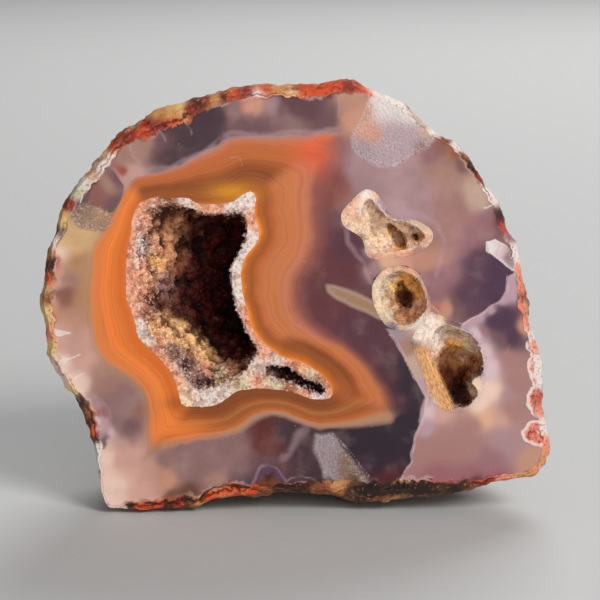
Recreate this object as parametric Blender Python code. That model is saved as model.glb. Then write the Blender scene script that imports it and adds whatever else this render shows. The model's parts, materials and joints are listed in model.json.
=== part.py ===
"""Half of a banded agate nodule, cut and polished flat in front, its open hollows lined with crystals.

Metres, +Z up. The stone stands on a small flat spot with the cut face upright, facing -Y, and the origin
is at the bottom centre of its box. Run it with blender --background --python part.py, or from Blender's
text editor.
"""

import math
import random

import bmesh
import bpy
from mathutils import Vector, noise

# Driving dimensions, in metres.
WIDTH = 0.062  # the nodule across its cut face
DEPTH = 0.028  # from the cut face to the back of the skin
GAP = 0.0003  # left between the stone and each crust that lines it
MM = 0.001
FACE_Y = -DEPTH / 2

# Outlines on the cut face are drawn in view units, across from the left and down from the top of a square
# view 600 units wide. Its eye looks down a little on the standing stone, and on_face() carries a point to
# the face.
VIEW_MIDDLE = 300
WIDTH_UNITS = 520
EYE_FOCAL = 2681  # units from the eye to the view
EYE_PITCH = math.radians(10.2)
EYE_DISTANCE = EYE_FOCAL * WIDTH / WIDTH_UNITS
AIM_X = 0.00059  # where the middle of the view meets the face
AIM_Z = 0.0263

# The outer edge of the skin, clockwise from the bottom left.
SKIN_OUTLINE = [
    (105, 510), (98, 488), (94, 460), (95, 447), (89, 440), (83, 420), (72, 398), (61, 385), (53, 372),
    (42, 350), (45, 338), (40, 320), (35, 291), (42, 282), (43, 258), (49, 243), (56, 228), (54, 220),
    (58, 210), (66, 204), (69, 190), (80, 177), (91, 165), (98, 157), (105, 145), (118, 131),
    (138, 119), (158, 107), (180, 101), (202, 95), (223, 89), (232, 85), (265, 83), (310, 83),
    (330, 80), (345, 76), (362, 82), (375, 90), (400, 99), (416, 115), (433, 129), (453, 140),
    (468, 151), (480, 173), (489, 189), (503, 205), (504, 222), (514, 233), (522, 256), (522, 270),
    (529, 291), (526, 300), (532, 328), (538, 340), (544, 370), (544, 412), (549, 425), (552, 450),
    (548, 467), (538, 478), (510, 482), (492, 485), (475, 493), (445, 499), (410, 502), (380, 505),
    (350, 502), (320, 498), (290, 495), (268, 497), (245, 499), (220, 500), (208, 507), (195, 511),
    (165, 511), (150, 515), (128, 512),
]
SKIN_MIDDLE = (295, 300)
# How far the polished edge lies inside the skin's outer edge: degrees round from +X, and view units.
LIP = [
    (0, 2), (30, 2), (60, 3), (80, 8), (95, 9), (120, 12), (135, 12), (150, 5), (165, 4), (180, 8),
    (200, 9), (215, 6), (228, 3), (240, 6), (255, 6), (270, 7), (285, 13), (300, 13), (315, 6),
    (335, 2), (360, 2),
]
CURVE_STEPS = 12  # points between two corners of an outline, before they are spaced evenly
SKIN_POINTS = 84
SKIN_TURNS = [*range(5, 81, 5), 84, 87]  # degrees, from the edge to the pole
ROUGH_EDGE = 0.0009  # how far behind the cut the skin reaches its outer edge
BACK_FULLNESS = 0.84  # 1 is a round back, and less is a fuller one
POLE = (0.001, 0.0165)  # where the back bulges furthest, x and z
POLE_DRIFT = 1.25  # 1 moves the rings over to the pole evenly, and more moves them late
NEIGHBOURS = 5  # points on each side that the outline is averaged over, away from the cut
AVERAGED_BY = 1 / 3  # share of the depth behind which the outline is fully averaged
LUMP_SIZE = 0.0065
LUMP_HEIGHT = 0.0024
LUMP_SINK = 0.35  # how far the lumps start below the smooth skin, as a share of their height
KNOB_SIZE = 0.0028
KNOB_HEIGHT = 0.0007
PITS = 26
PIT_RADII = (0.0014, 0.0032)
PIT_DEPTH = 0.45  # as a share of the pit's radius
SMOOTH_STRIP = 0.00135  # behind the cut, with no lumps
RELIEF_RISE = 0.0045  # behind the cut, where the relief reaches its full height

# The main hollow in the stone, and each hollow's sections: millimetres behind the face, scale, and a shift
# across and down in view units. The first section stands in front of the face, so that the hollow breaks
# through it.
VUG_WALL = [
    (141, 203), (160, 197), (188, 199), (205, 205), (234, 202), (252, 192), (255, 215), (258, 232),
    (247, 252), (240, 275), (243, 300), (252, 330), (272, 351), (300, 360), (325, 378), (331, 392),
    (318, 399), (290, 391), (255, 388), (235, 391), (218, 403), (195, 406), (183, 405), (176, 382),
    (165, 364), (143, 342), (133, 315), (126, 285), (127, 255), (131, 222),
]
VUG_MIDDLE = (222, 292)
VUG_SECTIONS = [
    (-1.0, 1.0, 0, 0), (0.0, 1.0, 0, 0), (3.0, 1.0, 6, 2), (6.5, 0.9, 14, 4), (10.0, 0.76, 18, 6),
    (13.0, 0.5, 14, 6), (15.0, 0.22, 10, 4),
]
VUG_POINTS = 44

# The open space inside the main crust, as outlines with their depths. A sloping wall on the upper left, a
# ledge on the lower left and an upright wall on the right lead down to the deep part.
CAVITY_LEVELS = [
    (0.0, [
        (140, 214), (150, 206), (165, 203), (182, 204), (194, 209), (207, 214), (222, 213), (238, 211),
        (246, 217), (247, 232), (240, 252), (232, 266), (232, 285), (236, 303), (242, 320), (251, 338),
        (258, 350), (252, 363), (243, 375), (226, 384), (208, 390), (196, 391), (185, 380), (175, 363),
        (161, 350), (150, 336), (144, 322), (138, 305), (134, 285), (134, 258), (138, 232),
    ]),
    (1.7, [
        (148, 219), (165, 210), (190, 210), (205, 216), (225, 215), (243, 219), (248, 231), (241, 252),
        (234, 268), (235, 292), (243, 320), (252, 340), (256, 350), (250, 362), (240, 374), (222, 381),
        (203, 385), (191, 378), (178, 361), (164, 347), (156, 330), (152, 310), (153, 285), (150, 258),
        (146, 235),
    ]),
    (4.0, [
        (162, 227), (178, 216), (205, 219), (230, 218), (248, 223), (251, 236), (245, 255), (238, 270),
        (240, 295), (247, 320), (255, 340), (256, 352), (249, 363), (239, 372), (221, 374), (203, 371),
        (200, 354), (189, 339), (174, 331), (162, 320), (158, 300), (163, 275), (160, 250),
    ]),
    (7.5, [
        (185, 232), (205, 225), (230, 223), (249, 229), (252, 241), (248, 258), (243, 275), (246, 300),
        (253, 322), (256, 342), (249, 358), (238, 366), (220, 366), (208, 358), (204, 342), (195, 330),
        (184, 320), (176, 306), (179, 280), (181, 255),
    ]),
    (10.8, [
        (205, 250), (225, 240), (243, 243), (247, 262), (243, 285), (247, 310), (250, 335), (242, 352),
        (226, 352), (213, 335), (203, 312), (200, 285),
    ]),
    (12.6, [(219, 277), (229, 272), (235, 286), (236, 303), (232, 315), (224, 309), (218, 295)]),
]
CAVITY_POINTS = 42
POCKET_MOUTH = [
    (264, 369), (275, 365), (294, 370), (307, 380), (322, 387), (322, 393), (305, 389), (286, 382),
    (270, 375),
]
POCKET_MIDDLE = (278, 373)
POCKET_SECTIONS = [
    (-1.0, 1.0, 0, 0), (0.0, 1.0, 0, 0), (2.2, 1.0, 1, 0), (4.6, 0.75, 2, 0), (6.2, 0.3, 4, 0),
]
POCKET_POINTS = 20

# The three hollows left by vanished crystals on the right: each has a wall in the stone and a mouth in its
# crust.
UPPER_WALL = [
    (342, 214), (350, 203), (360, 193), (368, 190), (376, 194), (383, 203), (396, 215), (420, 223),
    (432, 233), (428, 245), (411, 255), (385, 258), (368, 256), (362, 238), (345, 226),
]
UPPER_MOUTH = [
    (362, 206), (370, 198), (376, 205), (390, 219), (407, 222), (425, 234), (421, 243), (410, 249),
    (393, 252), (376, 252), (367, 241), (361, 225),
]
MIDDLE_WALL = [
    (374, 283), (385, 270), (401, 267), (416, 272), (424, 286), (430, 303), (428, 313), (413, 327),
    (402, 330), (388, 326), (378, 313), (373, 297),
]
MIDDLE_MOUTH = [
    (381, 285), (390, 275), (402, 272), (413, 277), (419, 288), (425, 304), (422, 311), (410, 322),
    (402, 325), (392, 320), (384, 310), (379, 297),
]
LOWER_WALL = [
    (416, 338), (424, 330), (434, 320), (447, 320), (461, 325), (474, 331), (482, 344), (486, 362),
    (486, 376), (481, 392), (476, 403), (464, 412), (452, 412), (439, 406), (429, 396), (424, 376),
    (417, 356),
]
LOWER_MOUTH = [
    (427, 352), (431, 340), (438, 328), (447, 325), (459, 329), (471, 336), (478, 347), (481, 362),
    (481, 373), (472, 382), (477, 391), (471, 402), (462, 407), (453, 406), (444, 401), (437, 391),
    (432, 375), (429, 362),
]
CAST_POINTS = 26
UPPER_SECTIONS = [
    (-1.0, 1.0, 0, 0), (0.0, 1.0, 0, 0), (2.5, 0.97, 2, 1), (4.8, 0.8, 3, 1), (6.4, 0.5, 4, 1),
]
UPPER_SPACE = [
    (-1.0, 1.0, 0, 0), (0.0, 1.0, 0, 0), (2.0, 0.98, 1, 0), (4.6, 0.84, 2, 1), (5.4, 0.5, 3, 1),
]
MIDDLE_SECTIONS = [
    (-1.0, 1.0, 0, 0), (0.0, 1.0, 0, 0), (2.5, 1.0, 2, 0), (5.2, 0.84, 4, 1), (6.6, 0.5, 5, 1),
]
MIDDLE_SPACE = [
    (-1.0, 1.0, 0, 0), (0.0, 1.0, 0, 0), (1.8, 0.96, 2, 1), (4.7, 0.84, 3, 1), (5.6, 0.45, 5, 1),
]
LOWER_SECTIONS = [
    (-1.0, 1.0, 0, 0), (0.0, 1.0, 0, 0), (3.0, 1.0, 1, 1), (6.0, 0.93, 2, 2), (7.6, 0.6, 2, 3),
]
LOWER_SPACE = [
    (-1.0, 1.0, 0, 0), (0.0, 1.0, 0, 0), (2.2, 1.0, 1, 1), (5.4, 0.92, 2, 2), (6.5, 0.5, 3, 3),
]
UPPER_MIDDLE = (390, 232)
MIDDLE_MIDDLE = (403, 299)
LOWER_MIDDLE = (455, 368)

# The fibrous rod across the lower hollow.
ROD_ENDS = [(426, 347), (448, 402)]
ROD_RADIUS = 0.0007
ROD_DEPTH = 0.0011
ROD_SIDES = 8

# The crystals on the walls: how far their corners stray, and their heights near the face. Deeper ones are
# half as high.
NUDGE = 0.00022
CRYSTAL_HEIGHTS = (0.0001, 0.00075)
CRYSTALS_TO = 0.010  # behind the face
GRAIN_HEIGHTS = (0.0001, 0.00035)
GRAINS_TO = 0.004
SEED = 7

# Each piece's colour and roughness.
FINISHES = {
    "agate": ((0.45, 0.22, 0.14), 0.12),
    "druse": ((0.62, 0.47, 0.42), 0.35),
    "upper_crust": ((0.75, 0.58, 0.42), 0.5),
    "middle_crust": ((0.62, 0.40, 0.18), 0.45),
    "lower_crust": ((0.55, 0.36, 0.20), 0.5),
}


def on_face(point):
    """The (x, z) on the cut face that a point of the view looks at."""
    across = (point[0] - VIEW_MIDDLE) / EYE_FOCAL
    down = (point[1] - VIEW_MIDDLE) / EYE_FOCAL
    reach = EYE_DISTANCE / (1 - down * math.tan(EYE_PITCH))
    drop = reach * (math.sin(EYE_PITCH) + down * math.cos(EYE_PITCH))
    return Vector((AIM_X + reach * across, AIM_Z + EYE_DISTANCE * math.sin(EYE_PITCH) - drop))


def smooth_loop(corners, count):
    """Points spaced evenly along a closed Catmull-Rom curve through the corners."""
    fine = []
    for i in range(len(corners)):
        a, b, c, d = (Vector(corners[(i + k) % len(corners)]) for k in (-1, 0, 1, 2))
        for step in range(CURVE_STEPS):
            t = step / CURVE_STEPS
            squared = (2 * a - 5 * b + 4 * c - d) * t**2
            cubed = (3 * b - a - 3 * c + d) * t**3
            fine.append((2 * b + (c - a) * t + squared + cubed) / 2)
    fine.append(fine[0])
    lengths = [0.0]
    for here, there in zip(fine, fine[1:]):
        lengths.append(lengths[-1] + (there - here).length)
    points = []
    k = 0
    for i in range(count):
        wanted = lengths[-1] * i / count
        while lengths[k + 1] < wanted:
            k += 1
        share = (wanted - lengths[k]) / (lengths[k + 1] - lengths[k])
        points.append(fine[k].lerp(fine[k + 1], share))
    return points


def inset(loop, distance):
    """A closed clockwise loop of (x, z) points moved inwards by a distance."""
    moved = []
    for i, point in enumerate(loop):
        along = (loop[(i + 1) % len(loop)] - loop[i - 1]).normalized()
        moved.append(point + distance * Vector((along.y, -along.x)))
    return moved


def between(pairs, key):
    """The value at key in a sorted list of (key, value) pairs, on straight lines between them."""
    for (low, first), (high, second) in zip(pairs, pairs[1:]):
        if key <= high:
            return first + (second - first) * (key - low) / (high - low)
    return pairs[-1][1]


def ring(loop, depth):
    """An (x, z) loop as points in space, a depth behind the cut face."""
    return [Vector((point.x, FACE_Y + depth, point.y)) for point in loop]


def loft(name, rings, collection):
    """A closed solid through rings of equal length, with a flat cap on the first and the last."""
    bm = bmesh.new()
    loops = [[bm.verts.new(point) for point in points] for points in rings]
    count = len(loops[0])
    for front, back in zip(loops, loops[1:]):
        for i in range(count):
            j = (i + 1) % count
            bm.faces.new((front[i], front[j], back[j], back[i]))
    bm.faces.new(loops[0])
    bm.faces.new(loops[-1])
    bmesh.ops.recalc_face_normals(bm, faces=bm.faces)
    mesh = bpy.data.meshes.new(name)
    bm.to_mesh(mesh)
    bm.free()
    made = bpy.data.objects.new(name, mesh)
    collection.objects.link(made)
    return made


def sections(outline, middle, levels, count, shrink=0.0):
    """Rings for a hollow: its outline scaled and shifted at each level, and shrunk by a distance."""
    loop = smooth_loop(outline, count)
    middle = Vector(middle)
    rings = []
    for depth, scale, across, down in levels:
        scaled = [on_face(middle + (point - middle) * scale + Vector((across, down))) for point in loop]
        rings.append(ring(inset(scaled, shrink), depth * MM - (shrink if depth > 0 else 0)))
    return rings


def skin_rings():
    """Rings for the nodule: the polished edge, the rough edge behind it, and a back that rounds to a pole."""
    edge = [on_face(point) for point in smooth_loop(SKIN_OUTLINE, SKIN_POINTS)]
    middle = on_face(SKIN_MIDDLE)
    pole = Vector(POLE)
    unit = WIDTH / WIDTH_UNITS
    polished = []
    for point in edge:
        arm = point - middle
        angle = math.degrees(math.atan2(arm.y, arm.x)) % 360
        polished.append(middle + arm * (1 - between(LIP, angle) * unit / arm.length))
    standing = [Vector((point.x, max(point.y, 0))) for point in edge]
    rings = [ring(polished, 0), ring(standing, ROUGH_EDGE)]
    for turn in SKIN_TURNS:
        sunk = math.sin(math.radians(turn)) ** BACK_FULLNESS
        share = math.cos(math.radians(turn)) ** BACK_FULLNESS
        centre = middle.lerp(pole, sunk**POLE_DRIFT)
        averaged = min(1, sunk / AVERAGED_BY)
        loop = []
        for i, point in enumerate(edge):
            nearby = [edge[(i + j) % SKIN_POINTS] for j in range(-NEIGHBOURS, NEIGHBOURS + 1)]
            average = sum(nearby, Vector((0, 0))) / len(nearby)
            place = centre + (point.lerp(average, averaged) - middle) * share
            loop.append(Vector((place.x, max(place.y, 0))))
        rings.append(ring(loop, ROUGH_EDGE + (DEPTH - ROUGH_EDGE) * sunk))
    return rings


def roughen(nodule):
    """Gives the skin lumps, knobs and round pits, with its back at DEPTH and its foot flat on z = 0."""
    rng = random.Random(SEED)
    bm = bmesh.new()
    bm.from_mesh(nodule.data)
    back = max(bm.faces, key=lambda face: face.calc_center_median().y)
    bmesh.ops.poke(bm, faces=[back])
    bm.normal_update()
    skin = [vert for vert in bm.verts if vert.co.y > FACE_Y + SMOOTH_STRIP]
    pits = [(rng.choice(skin).co.copy(), rng.uniform(*PIT_RADII)) for _ in range(PITS)]
    moves = []
    for vert in skin:
        height = LUMP_HEIGHT * (noise.noise(vert.co / LUMP_SIZE) - LUMP_SINK)
        height += KNOB_HEIGHT * noise.noise(vert.co / KNOB_SIZE)
        for pit, radius in pits:
            near = (vert.co - pit).length / radius
            height -= PIT_DEPTH * radius * max(0, 1 - near * near)
        height *= min(1, (vert.co.y - FACE_Y) / RELIEF_RISE)
        moves.append((vert, vert.normal * height))
    for vert, move in moves:
        standing = vert.co.z == 0
        vert.co += move
        vert.co.z = 0 if standing else max(vert.co.z, 0)
    stretch = DEPTH / (max(vert.co.y for vert in bm.verts) - FACE_Y)
    for vert in bm.verts:
        vert.co.y = FACE_Y + (vert.co.y - FACE_Y) * stretch
    bm.to_mesh(nodule.data)
    bm.free()


def cavity_rings():
    """Rings for the space inside the main crust, with one more between each two drawn levels below the rim.

    Points behind the rim are nudged at random, so that the crystals set on the wall's faces differ in size.
    """
    rng = random.Random(SEED)
    loops = []
    for depth, outline in CAVITY_LEVELS:
        loops.append((depth * MM, [on_face(point) for point in smooth_loop(outline, CAVITY_POINTS)]))
    rings = [ring(loops[0][1], -MM), ring(loops[0][1], 0)]
    for (high, upper), (low, lower) in zip(loops, loops[1:]):
        for share in (0.5, 1.0):
            loop = [first.lerp(second, share) for first, second in zip(upper, lower)]
            points = ring(loop, high + (low - high) * share)
            for point in points:
                point += Vector([rng.uniform(-NUDGE, NUDGE) for _ in range(3)])
            rings.append(points)
    return rings


def stud(cutter, heights, full_to):
    """Dents a pyramid into each of a cutter's wall faces, so that what it cuts is left with a crystal there.

    The pyramids that lie deeper than full_to are half as high.
    """
    rng = random.Random(SEED)
    bm = bmesh.new()
    bm.from_mesh(cutter.data)
    walls = [face for face in bm.faces if face.calc_center_median().y > FACE_Y and len(face.verts) == 4]
    for face in walls:
        height = rng.uniform(*heights)
        if face.calc_center_median().y > FACE_Y + full_to:
            height /= 2
        bmesh.ops.poke(bm, faces=[face], offset=-height)
    bm.to_mesh(cutter.data)
    bm.free()


def cut(target, *cutters, operation="DIFFERENCE"):
    """Adds an exact Boolean to the target for each cutter."""
    for cutter in cutters:
        modifier = target.modifiers.new(cutter.name, "BOOLEAN")
        modifier.operation = operation
        modifier.object = cutter
        cutter.hide_render = True
        cutter.display_type = "WIRE"


def finish(name, colour, roughness):
    """A Principled material with one colour."""
    material = bpy.data.materials.new(name)
    material.use_nodes = True
    shader = material.node_tree.nodes["Principled BSDF"]
    shader.inputs["Base Color"].default_value = (*colour, 1)
    shader.inputs["Roughness"].default_value = roughness
    return material


def make_rod(collection):
    """The fibrous rod, as a cylinder that lies just behind the face with its ends in the crust."""
    start, end = (on_face(point) for point in ROD_ENDS)
    axis = Vector((end.x - start.x, 0, end.y - start.y))
    bm = bmesh.new()
    bmesh.ops.create_cone(
        bm, cap_ends=True, segments=ROD_SIDES, radius1=ROD_RADIUS, radius2=ROD_RADIUS, depth=axis.length
    )
    mesh = bpy.data.meshes.new("rod")
    bm.to_mesh(mesh)
    bm.free()
    rod = bpy.data.objects.new("rod", mesh)
    rod.rotation_mode = "QUATERNION"
    rod.rotation_quaternion = axis.to_track_quat("Z", "Y")
    rod.location = ((start.x + end.x) / 2, FACE_Y + ROD_DEPTH, (start.y + end.y) / 2)
    collection.objects.link(rod)
    return rod


def main():
    for obj in list(bpy.data.objects):
        bpy.data.objects.remove(obj, do_unlink=True)
    pieces = bpy.data.collections.new("coyamito_agate")
    cutters = bpy.data.collections.new("cutters")
    for collection in (pieces, cutters):
        bpy.context.scene.collection.children.link(collection)

    agate = loft("agate", skin_rings(), pieces)
    roughen(agate)

    hollows = [
        ("druse", VUG_WALL, VUG_MIDDLE, VUG_SECTIONS, VUG_POINTS),
        ("upper_crust", UPPER_WALL, UPPER_MIDDLE, UPPER_SECTIONS, CAST_POINTS),
        ("middle_crust", MIDDLE_WALL, MIDDLE_MIDDLE, MIDDLE_SECTIONS, CAST_POINTS),
        ("lower_crust", LOWER_WALL, LOWER_MIDDLE, LOWER_SECTIONS, CAST_POINTS),
    ]
    crusts = {}
    for name, wall, middle, levels, count in hollows:
        cut(agate, loft(name + "_hollow", sections(wall, middle, levels, count), cutters))
        crusts[name] = loft(name, sections(wall, middle, levels[1:], count, shrink=GAP), pieces)

    cavity = loft("druse_space", cavity_rings(), cutters)
    stud(cavity, CRYSTAL_HEIGHTS, CRYSTALS_TO)
    pocket_rings = sections(POCKET_MOUTH, POCKET_MIDDLE, POCKET_SECTIONS, POCKET_POINTS)
    pocket = loft("pocket_space", pocket_rings, cutters)
    stud(pocket, GRAIN_HEIGHTS, GRAINS_TO)
    cut(crusts["druse"], cavity, pocket)
    casts = [
        ("upper_crust", UPPER_MOUTH, UPPER_MIDDLE, UPPER_SPACE),
        ("middle_crust", MIDDLE_MOUTH, MIDDLE_MIDDLE, MIDDLE_SPACE),
        ("lower_crust", LOWER_MOUTH, LOWER_MIDDLE, LOWER_SPACE),
    ]
    for name, mouth, middle, levels in casts:
        space = loft(name + "_space", sections(mouth, middle, levels, CAST_POINTS), cutters)
        stud(space, GRAIN_HEIGHTS, GRAINS_TO)
        cut(crusts[name], space)
    cut(crusts["lower_crust"], make_rod(cutters), operation="UNION")

    for piece in pieces.objects:
        piece.data.materials.append(finish(piece.name, *FINISHES[piece.name]))


main()
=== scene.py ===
# %% [markdown]
# # Half of a coyamito agate
#
# The real object is half of a nodule of banded agate, sawn through and polished flat. A rough skin wraps its
# back. Four hollows open in the cut: a large one lined with quartz crystals, and three that vanished crystals
# left behind, each with its own crust. The packed solids have its size and its main shapes, so each piece
# below starts from them or from an outline drawn in the photograph's pixels, and adds the fine surface and
# the colours.

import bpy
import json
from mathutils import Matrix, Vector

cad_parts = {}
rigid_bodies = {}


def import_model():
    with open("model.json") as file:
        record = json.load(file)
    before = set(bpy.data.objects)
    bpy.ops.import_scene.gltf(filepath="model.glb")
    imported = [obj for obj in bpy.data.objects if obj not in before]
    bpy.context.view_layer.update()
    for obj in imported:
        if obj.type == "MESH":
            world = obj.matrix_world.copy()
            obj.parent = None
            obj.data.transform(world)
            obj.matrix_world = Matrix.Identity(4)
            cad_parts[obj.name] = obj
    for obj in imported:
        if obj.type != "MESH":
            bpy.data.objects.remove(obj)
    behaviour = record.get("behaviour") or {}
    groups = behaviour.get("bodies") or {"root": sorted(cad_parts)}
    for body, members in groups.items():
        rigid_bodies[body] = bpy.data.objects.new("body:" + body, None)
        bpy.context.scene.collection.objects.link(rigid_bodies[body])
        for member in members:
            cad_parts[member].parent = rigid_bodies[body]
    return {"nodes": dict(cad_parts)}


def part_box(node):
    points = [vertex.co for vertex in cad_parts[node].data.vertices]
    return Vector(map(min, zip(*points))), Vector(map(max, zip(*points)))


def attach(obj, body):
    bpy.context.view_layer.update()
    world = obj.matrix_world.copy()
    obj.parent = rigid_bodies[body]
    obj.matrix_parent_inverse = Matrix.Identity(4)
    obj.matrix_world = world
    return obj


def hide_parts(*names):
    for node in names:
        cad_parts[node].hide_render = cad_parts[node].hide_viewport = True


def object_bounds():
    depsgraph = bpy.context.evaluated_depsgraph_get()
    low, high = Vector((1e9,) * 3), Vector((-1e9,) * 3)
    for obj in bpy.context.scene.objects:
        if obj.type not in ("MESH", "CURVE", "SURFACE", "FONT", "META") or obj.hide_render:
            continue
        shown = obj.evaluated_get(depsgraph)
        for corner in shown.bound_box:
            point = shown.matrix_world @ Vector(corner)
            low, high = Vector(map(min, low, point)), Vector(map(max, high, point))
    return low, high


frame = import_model()
cad_low, cad_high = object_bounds()
print("packed model", [round(value * 1000, 1) for value in cad_high - cad_low], "mm")

# %% [markdown]
# ## Camera
#
# The photographer looked down a little at the cut face through a long lens. The outlines in this notebook are
# drawn in the photograph's own pixels, across from its left and down from its top, so the camera comes first.
# Two functions carry points from those pixels to the cut face and back. A camera-facing image plane could
# guide the drawing too, but numbers in pixels are easier to check against the picture.

# %% Camera
import json
import math

import bpy
import numpy as np
from mathutils import Vector

MM = 0.001
PHOTO_SIZE = 600
PHOTO_MIDDLE = PHOTO_SIZE / 2
FOCAL_PIXELS = 2681
SENSOR_MM = 36
PITCH = math.radians(10.2)
FACE_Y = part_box("agate")[0].y
STONE_WIDTH = 0.062
STONE_PIXELS = 520
EYE_DISTANCE = FOCAL_PIXELS * STONE_WIDTH / STONE_PIXELS
PIXEL = STONE_WIDTH / STONE_PIXELS
AIM = Vector((0.00059, FACE_Y, 0.0263))
NEAREST_SEEN = 0.01

bpy.ops.object.select_all(action="DESELECT")
bpy.ops.object.camera_add(
    location=AIM + EYE_DISTANCE * Vector((0, -math.cos(PITCH), math.sin(PITCH))),
    rotation=(math.pi / 2 - PITCH, 0, 0),
)
camera = bpy.context.object
camera.data.sensor_width = SENSOR_MM
camera.data.lens = SENSOR_MM * FOCAL_PIXELS / PHOTO_SIZE
camera.data.clip_start = NEAREST_SEEN
bpy.context.scene.camera = camera


def on_face(drawn):
    """Where points drawn in the photograph's pixels lie on the cut face, as (x, z) in metres."""
    across, down = (np.asarray(drawn, float).T - PHOTO_MIDDLE) / FOCAL_PIXELS
    reach = EYE_DISTANCE / (1 - down * math.tan(PITCH))
    drop = reach * (math.sin(PITCH) + down * math.cos(PITCH))
    return np.stack((AIM.x + reach * across, AIM.z + EYE_DISTANCE * math.sin(PITCH) - drop), axis=1)


def in_photo(places):
    """Which of the photograph's pixels points in space are seen at."""
    x, y, z = (places - np.array(AIM)).T
    ahead = EYE_DISTANCE + y * math.cos(PITCH) - z * math.sin(PITCH)
    up = y * math.sin(PITCH) + z * math.cos(PITCH)
    seen = np.stack((x, -up), axis=1) / ahead[:, None]
    return PHOTO_MIDDLE + FOCAL_PIXELS * seen


print("camera", round(EYE_DISTANCE, 3), "m away, lens", round(camera.data.lens, 1), "mm")

# %% [markdown]
# ## Light and floor
#
# Large soft lights keep hard glints off the polish. The key stands high at the front right, so that it
# reaches the left walls of the hollows, the fill stands in front, and a third light behind rims the skin.
# The floor is plain and pale, and wide enough to fill the frame.

# %% Light and floor
FLOOR_SIZE = 12
LIGHTS = {
    "key": {"place": (0.55, -0.8, 0.65), "size": 0.4, "watts": 10},
    "fill": {"place": (0.2, -1.15, 0.3), "size": 0.5, "watts": 4.5},
    "rim": {"place": (0.25, 0.75, 0.7), "size": 0.6, "watts": 7},
}
SKY_COLOUR = (0.9, 0.92, 1.0, 1)
SKY_STRENGTH = 0.16

for name, light in LIGHTS.items():
    toward = AIM - Vector(light["place"])
    turn = toward.to_track_quat("-Z", "Y").to_euler()
    bpy.ops.object.light_add(type="AREA", location=light["place"], rotation=turn)
    bpy.context.object.name = name
    bpy.context.object.data.size = light["size"]
    bpy.context.object.data.energy = light["watts"]

world = bpy.data.worlds.new("studio")
world.use_nodes = True
background = world.node_tree.nodes["Background"]
background.inputs["Color"].default_value = SKY_COLOUR
background.inputs["Strength"].default_value = SKY_STRENGTH
bpy.context.scene.world = world
bpy.context.scene.view_settings.view_transform = "Standard"

bpy.ops.mesh.primitive_plane_add(size=FLOOR_SIZE, location=(0, 0, 0))
floor = bpy.context.object
floor.name = "floor"
print("lights", list(LIGHTS))

# %% [markdown]
# ## Small helpers
#
# These are the few moves that every piece needs: pick one object, apply a modifier, choose faces or edges by
# a test in code, and read or move all points of a mesh at once. By hand each of them is one or two clicks.
# TINY says when a distance counts as nothing, and FACING how straight a face must look one way.

# %% Small helpers
TINY = 1e-6
FACING = 0.99


def pick(piece):
    """Leaves one object selected and active."""
    bpy.ops.object.select_all(action="DESELECT")
    piece.select_set(True)
    bpy.context.view_layer.objects.active = piece


def work(piece, kind, **settings):
    """Adds a modifier with these settings to a piece and applies it."""
    pick(piece)
    modifier = piece.modifiers.new(kind.lower(), kind)
    for setting, value in settings.items():
        setattr(modifier, setting, value)
    bpy.ops.object.modifier_apply(modifier=modifier.name)


def places_of(piece):
    """The points of a piece, as rows of x, y and z."""
    flat = np.empty(len(piece.data.vertices) * 3)
    piece.data.vertices.foreach_get("co", flat)
    return flat.reshape(-1, 3)


def move_to(piece, places):
    """Moves the points of a piece."""
    piece.data.vertices.foreach_set("co", places.ravel())
    piece.data.update()


def choose(piece, kind, chosen):
    """Opens a piece in edit mode with the chosen parts selected. kind is VERT, EDGE or FACE."""
    pick(piece)
    bpy.ops.object.mode_set(mode="EDIT")
    bpy.ops.mesh.select_mode(type=kind)
    bpy.ops.mesh.select_all(action="DESELECT")
    bpy.ops.object.mode_set(mode="OBJECT")
    parts = {"VERT": piece.data.vertices, "EDGE": piece.data.edges, "FACE": piece.data.polygons}[kind]
    parts.foreach_set("select", chosen)
    bpy.ops.object.mode_set(mode="EDIT")


def done():
    """Leaves edit mode."""
    bpy.ops.object.mode_set(mode="OBJECT")


def face_outwards():
    """Turns every face of the piece in edit mode outwards, and leaves edit mode."""
    bpy.ops.mesh.select_all(action="SELECT")
    bpy.ops.mesh.normals_make_consistent(inside=False)
    done()


def triangles(piece):
    """How many triangles a piece has."""
    return sum(len(face.vertices) - 2 for face in piece.data.polygons)

# %% [markdown]
# ## Outlines
#
# Every outline was read off the enlarged photograph, under a grid of its pixels, with only the corners
# that its shape needs. A closed Catmull-Rom curve through the corners rounds them, the way a pen would. A
# traced mask would be quicker, but it would carry every grain of the picture along.

# %% Outlines
VUG_WALL = [
    (141, 203), (150, 199), (160, 197), (170, 199), (180, 198), (188, 199), (195, 203), (205, 205),
    (225, 204), (234, 202), (240, 197), (247, 193), (252, 192), (255, 197), (254, 205), (254, 215),
    (257, 225), (258, 232), (257, 240), (252, 247), (247, 252), (243, 260), (240, 270), (240, 280),
    (241, 290), (243, 300), (246, 310), (248, 320), (252, 330), (258, 338), (265, 345), (272, 351),
    (280, 357), (290, 360), (300, 363), (310, 368), (319, 374), (326, 381), (331, 389), (332, 394),
    (328, 398), (320, 399), (310, 398), (300, 394), (290, 391), (278, 389), (265, 388), (255, 388),
    (243, 389), (235, 391), (227, 397), (218, 403), (207, 406), (195, 406), (183, 405), (179, 392),
    (176, 382), (172, 373), (165, 364), (158, 356), (150, 348), (143, 342), (138, 335), (136, 325),
    (133, 315), (130, 307), (127, 300), (126, 285), (126, 270), (127, 255), (129, 243), (131, 235),
    (132, 225), (133, 218), (136, 210),
]
UPPER_WALL = [
    (342, 214), (350, 203), (360, 193), (368, 190), (376, 194), (383, 203), (396, 215), (420, 223),
    (432, 233), (428, 245), (411, 255), (385, 258), (368, 256), (362, 238), (345, 226),
]
MIDDLE_WALL = [
    (374, 283), (385, 270), (401, 267), (416, 272), (424, 286), (430, 303), (428, 313), (413, 327),
    (402, 330), (388, 326), (378, 313), (373, 297),
]
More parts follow.
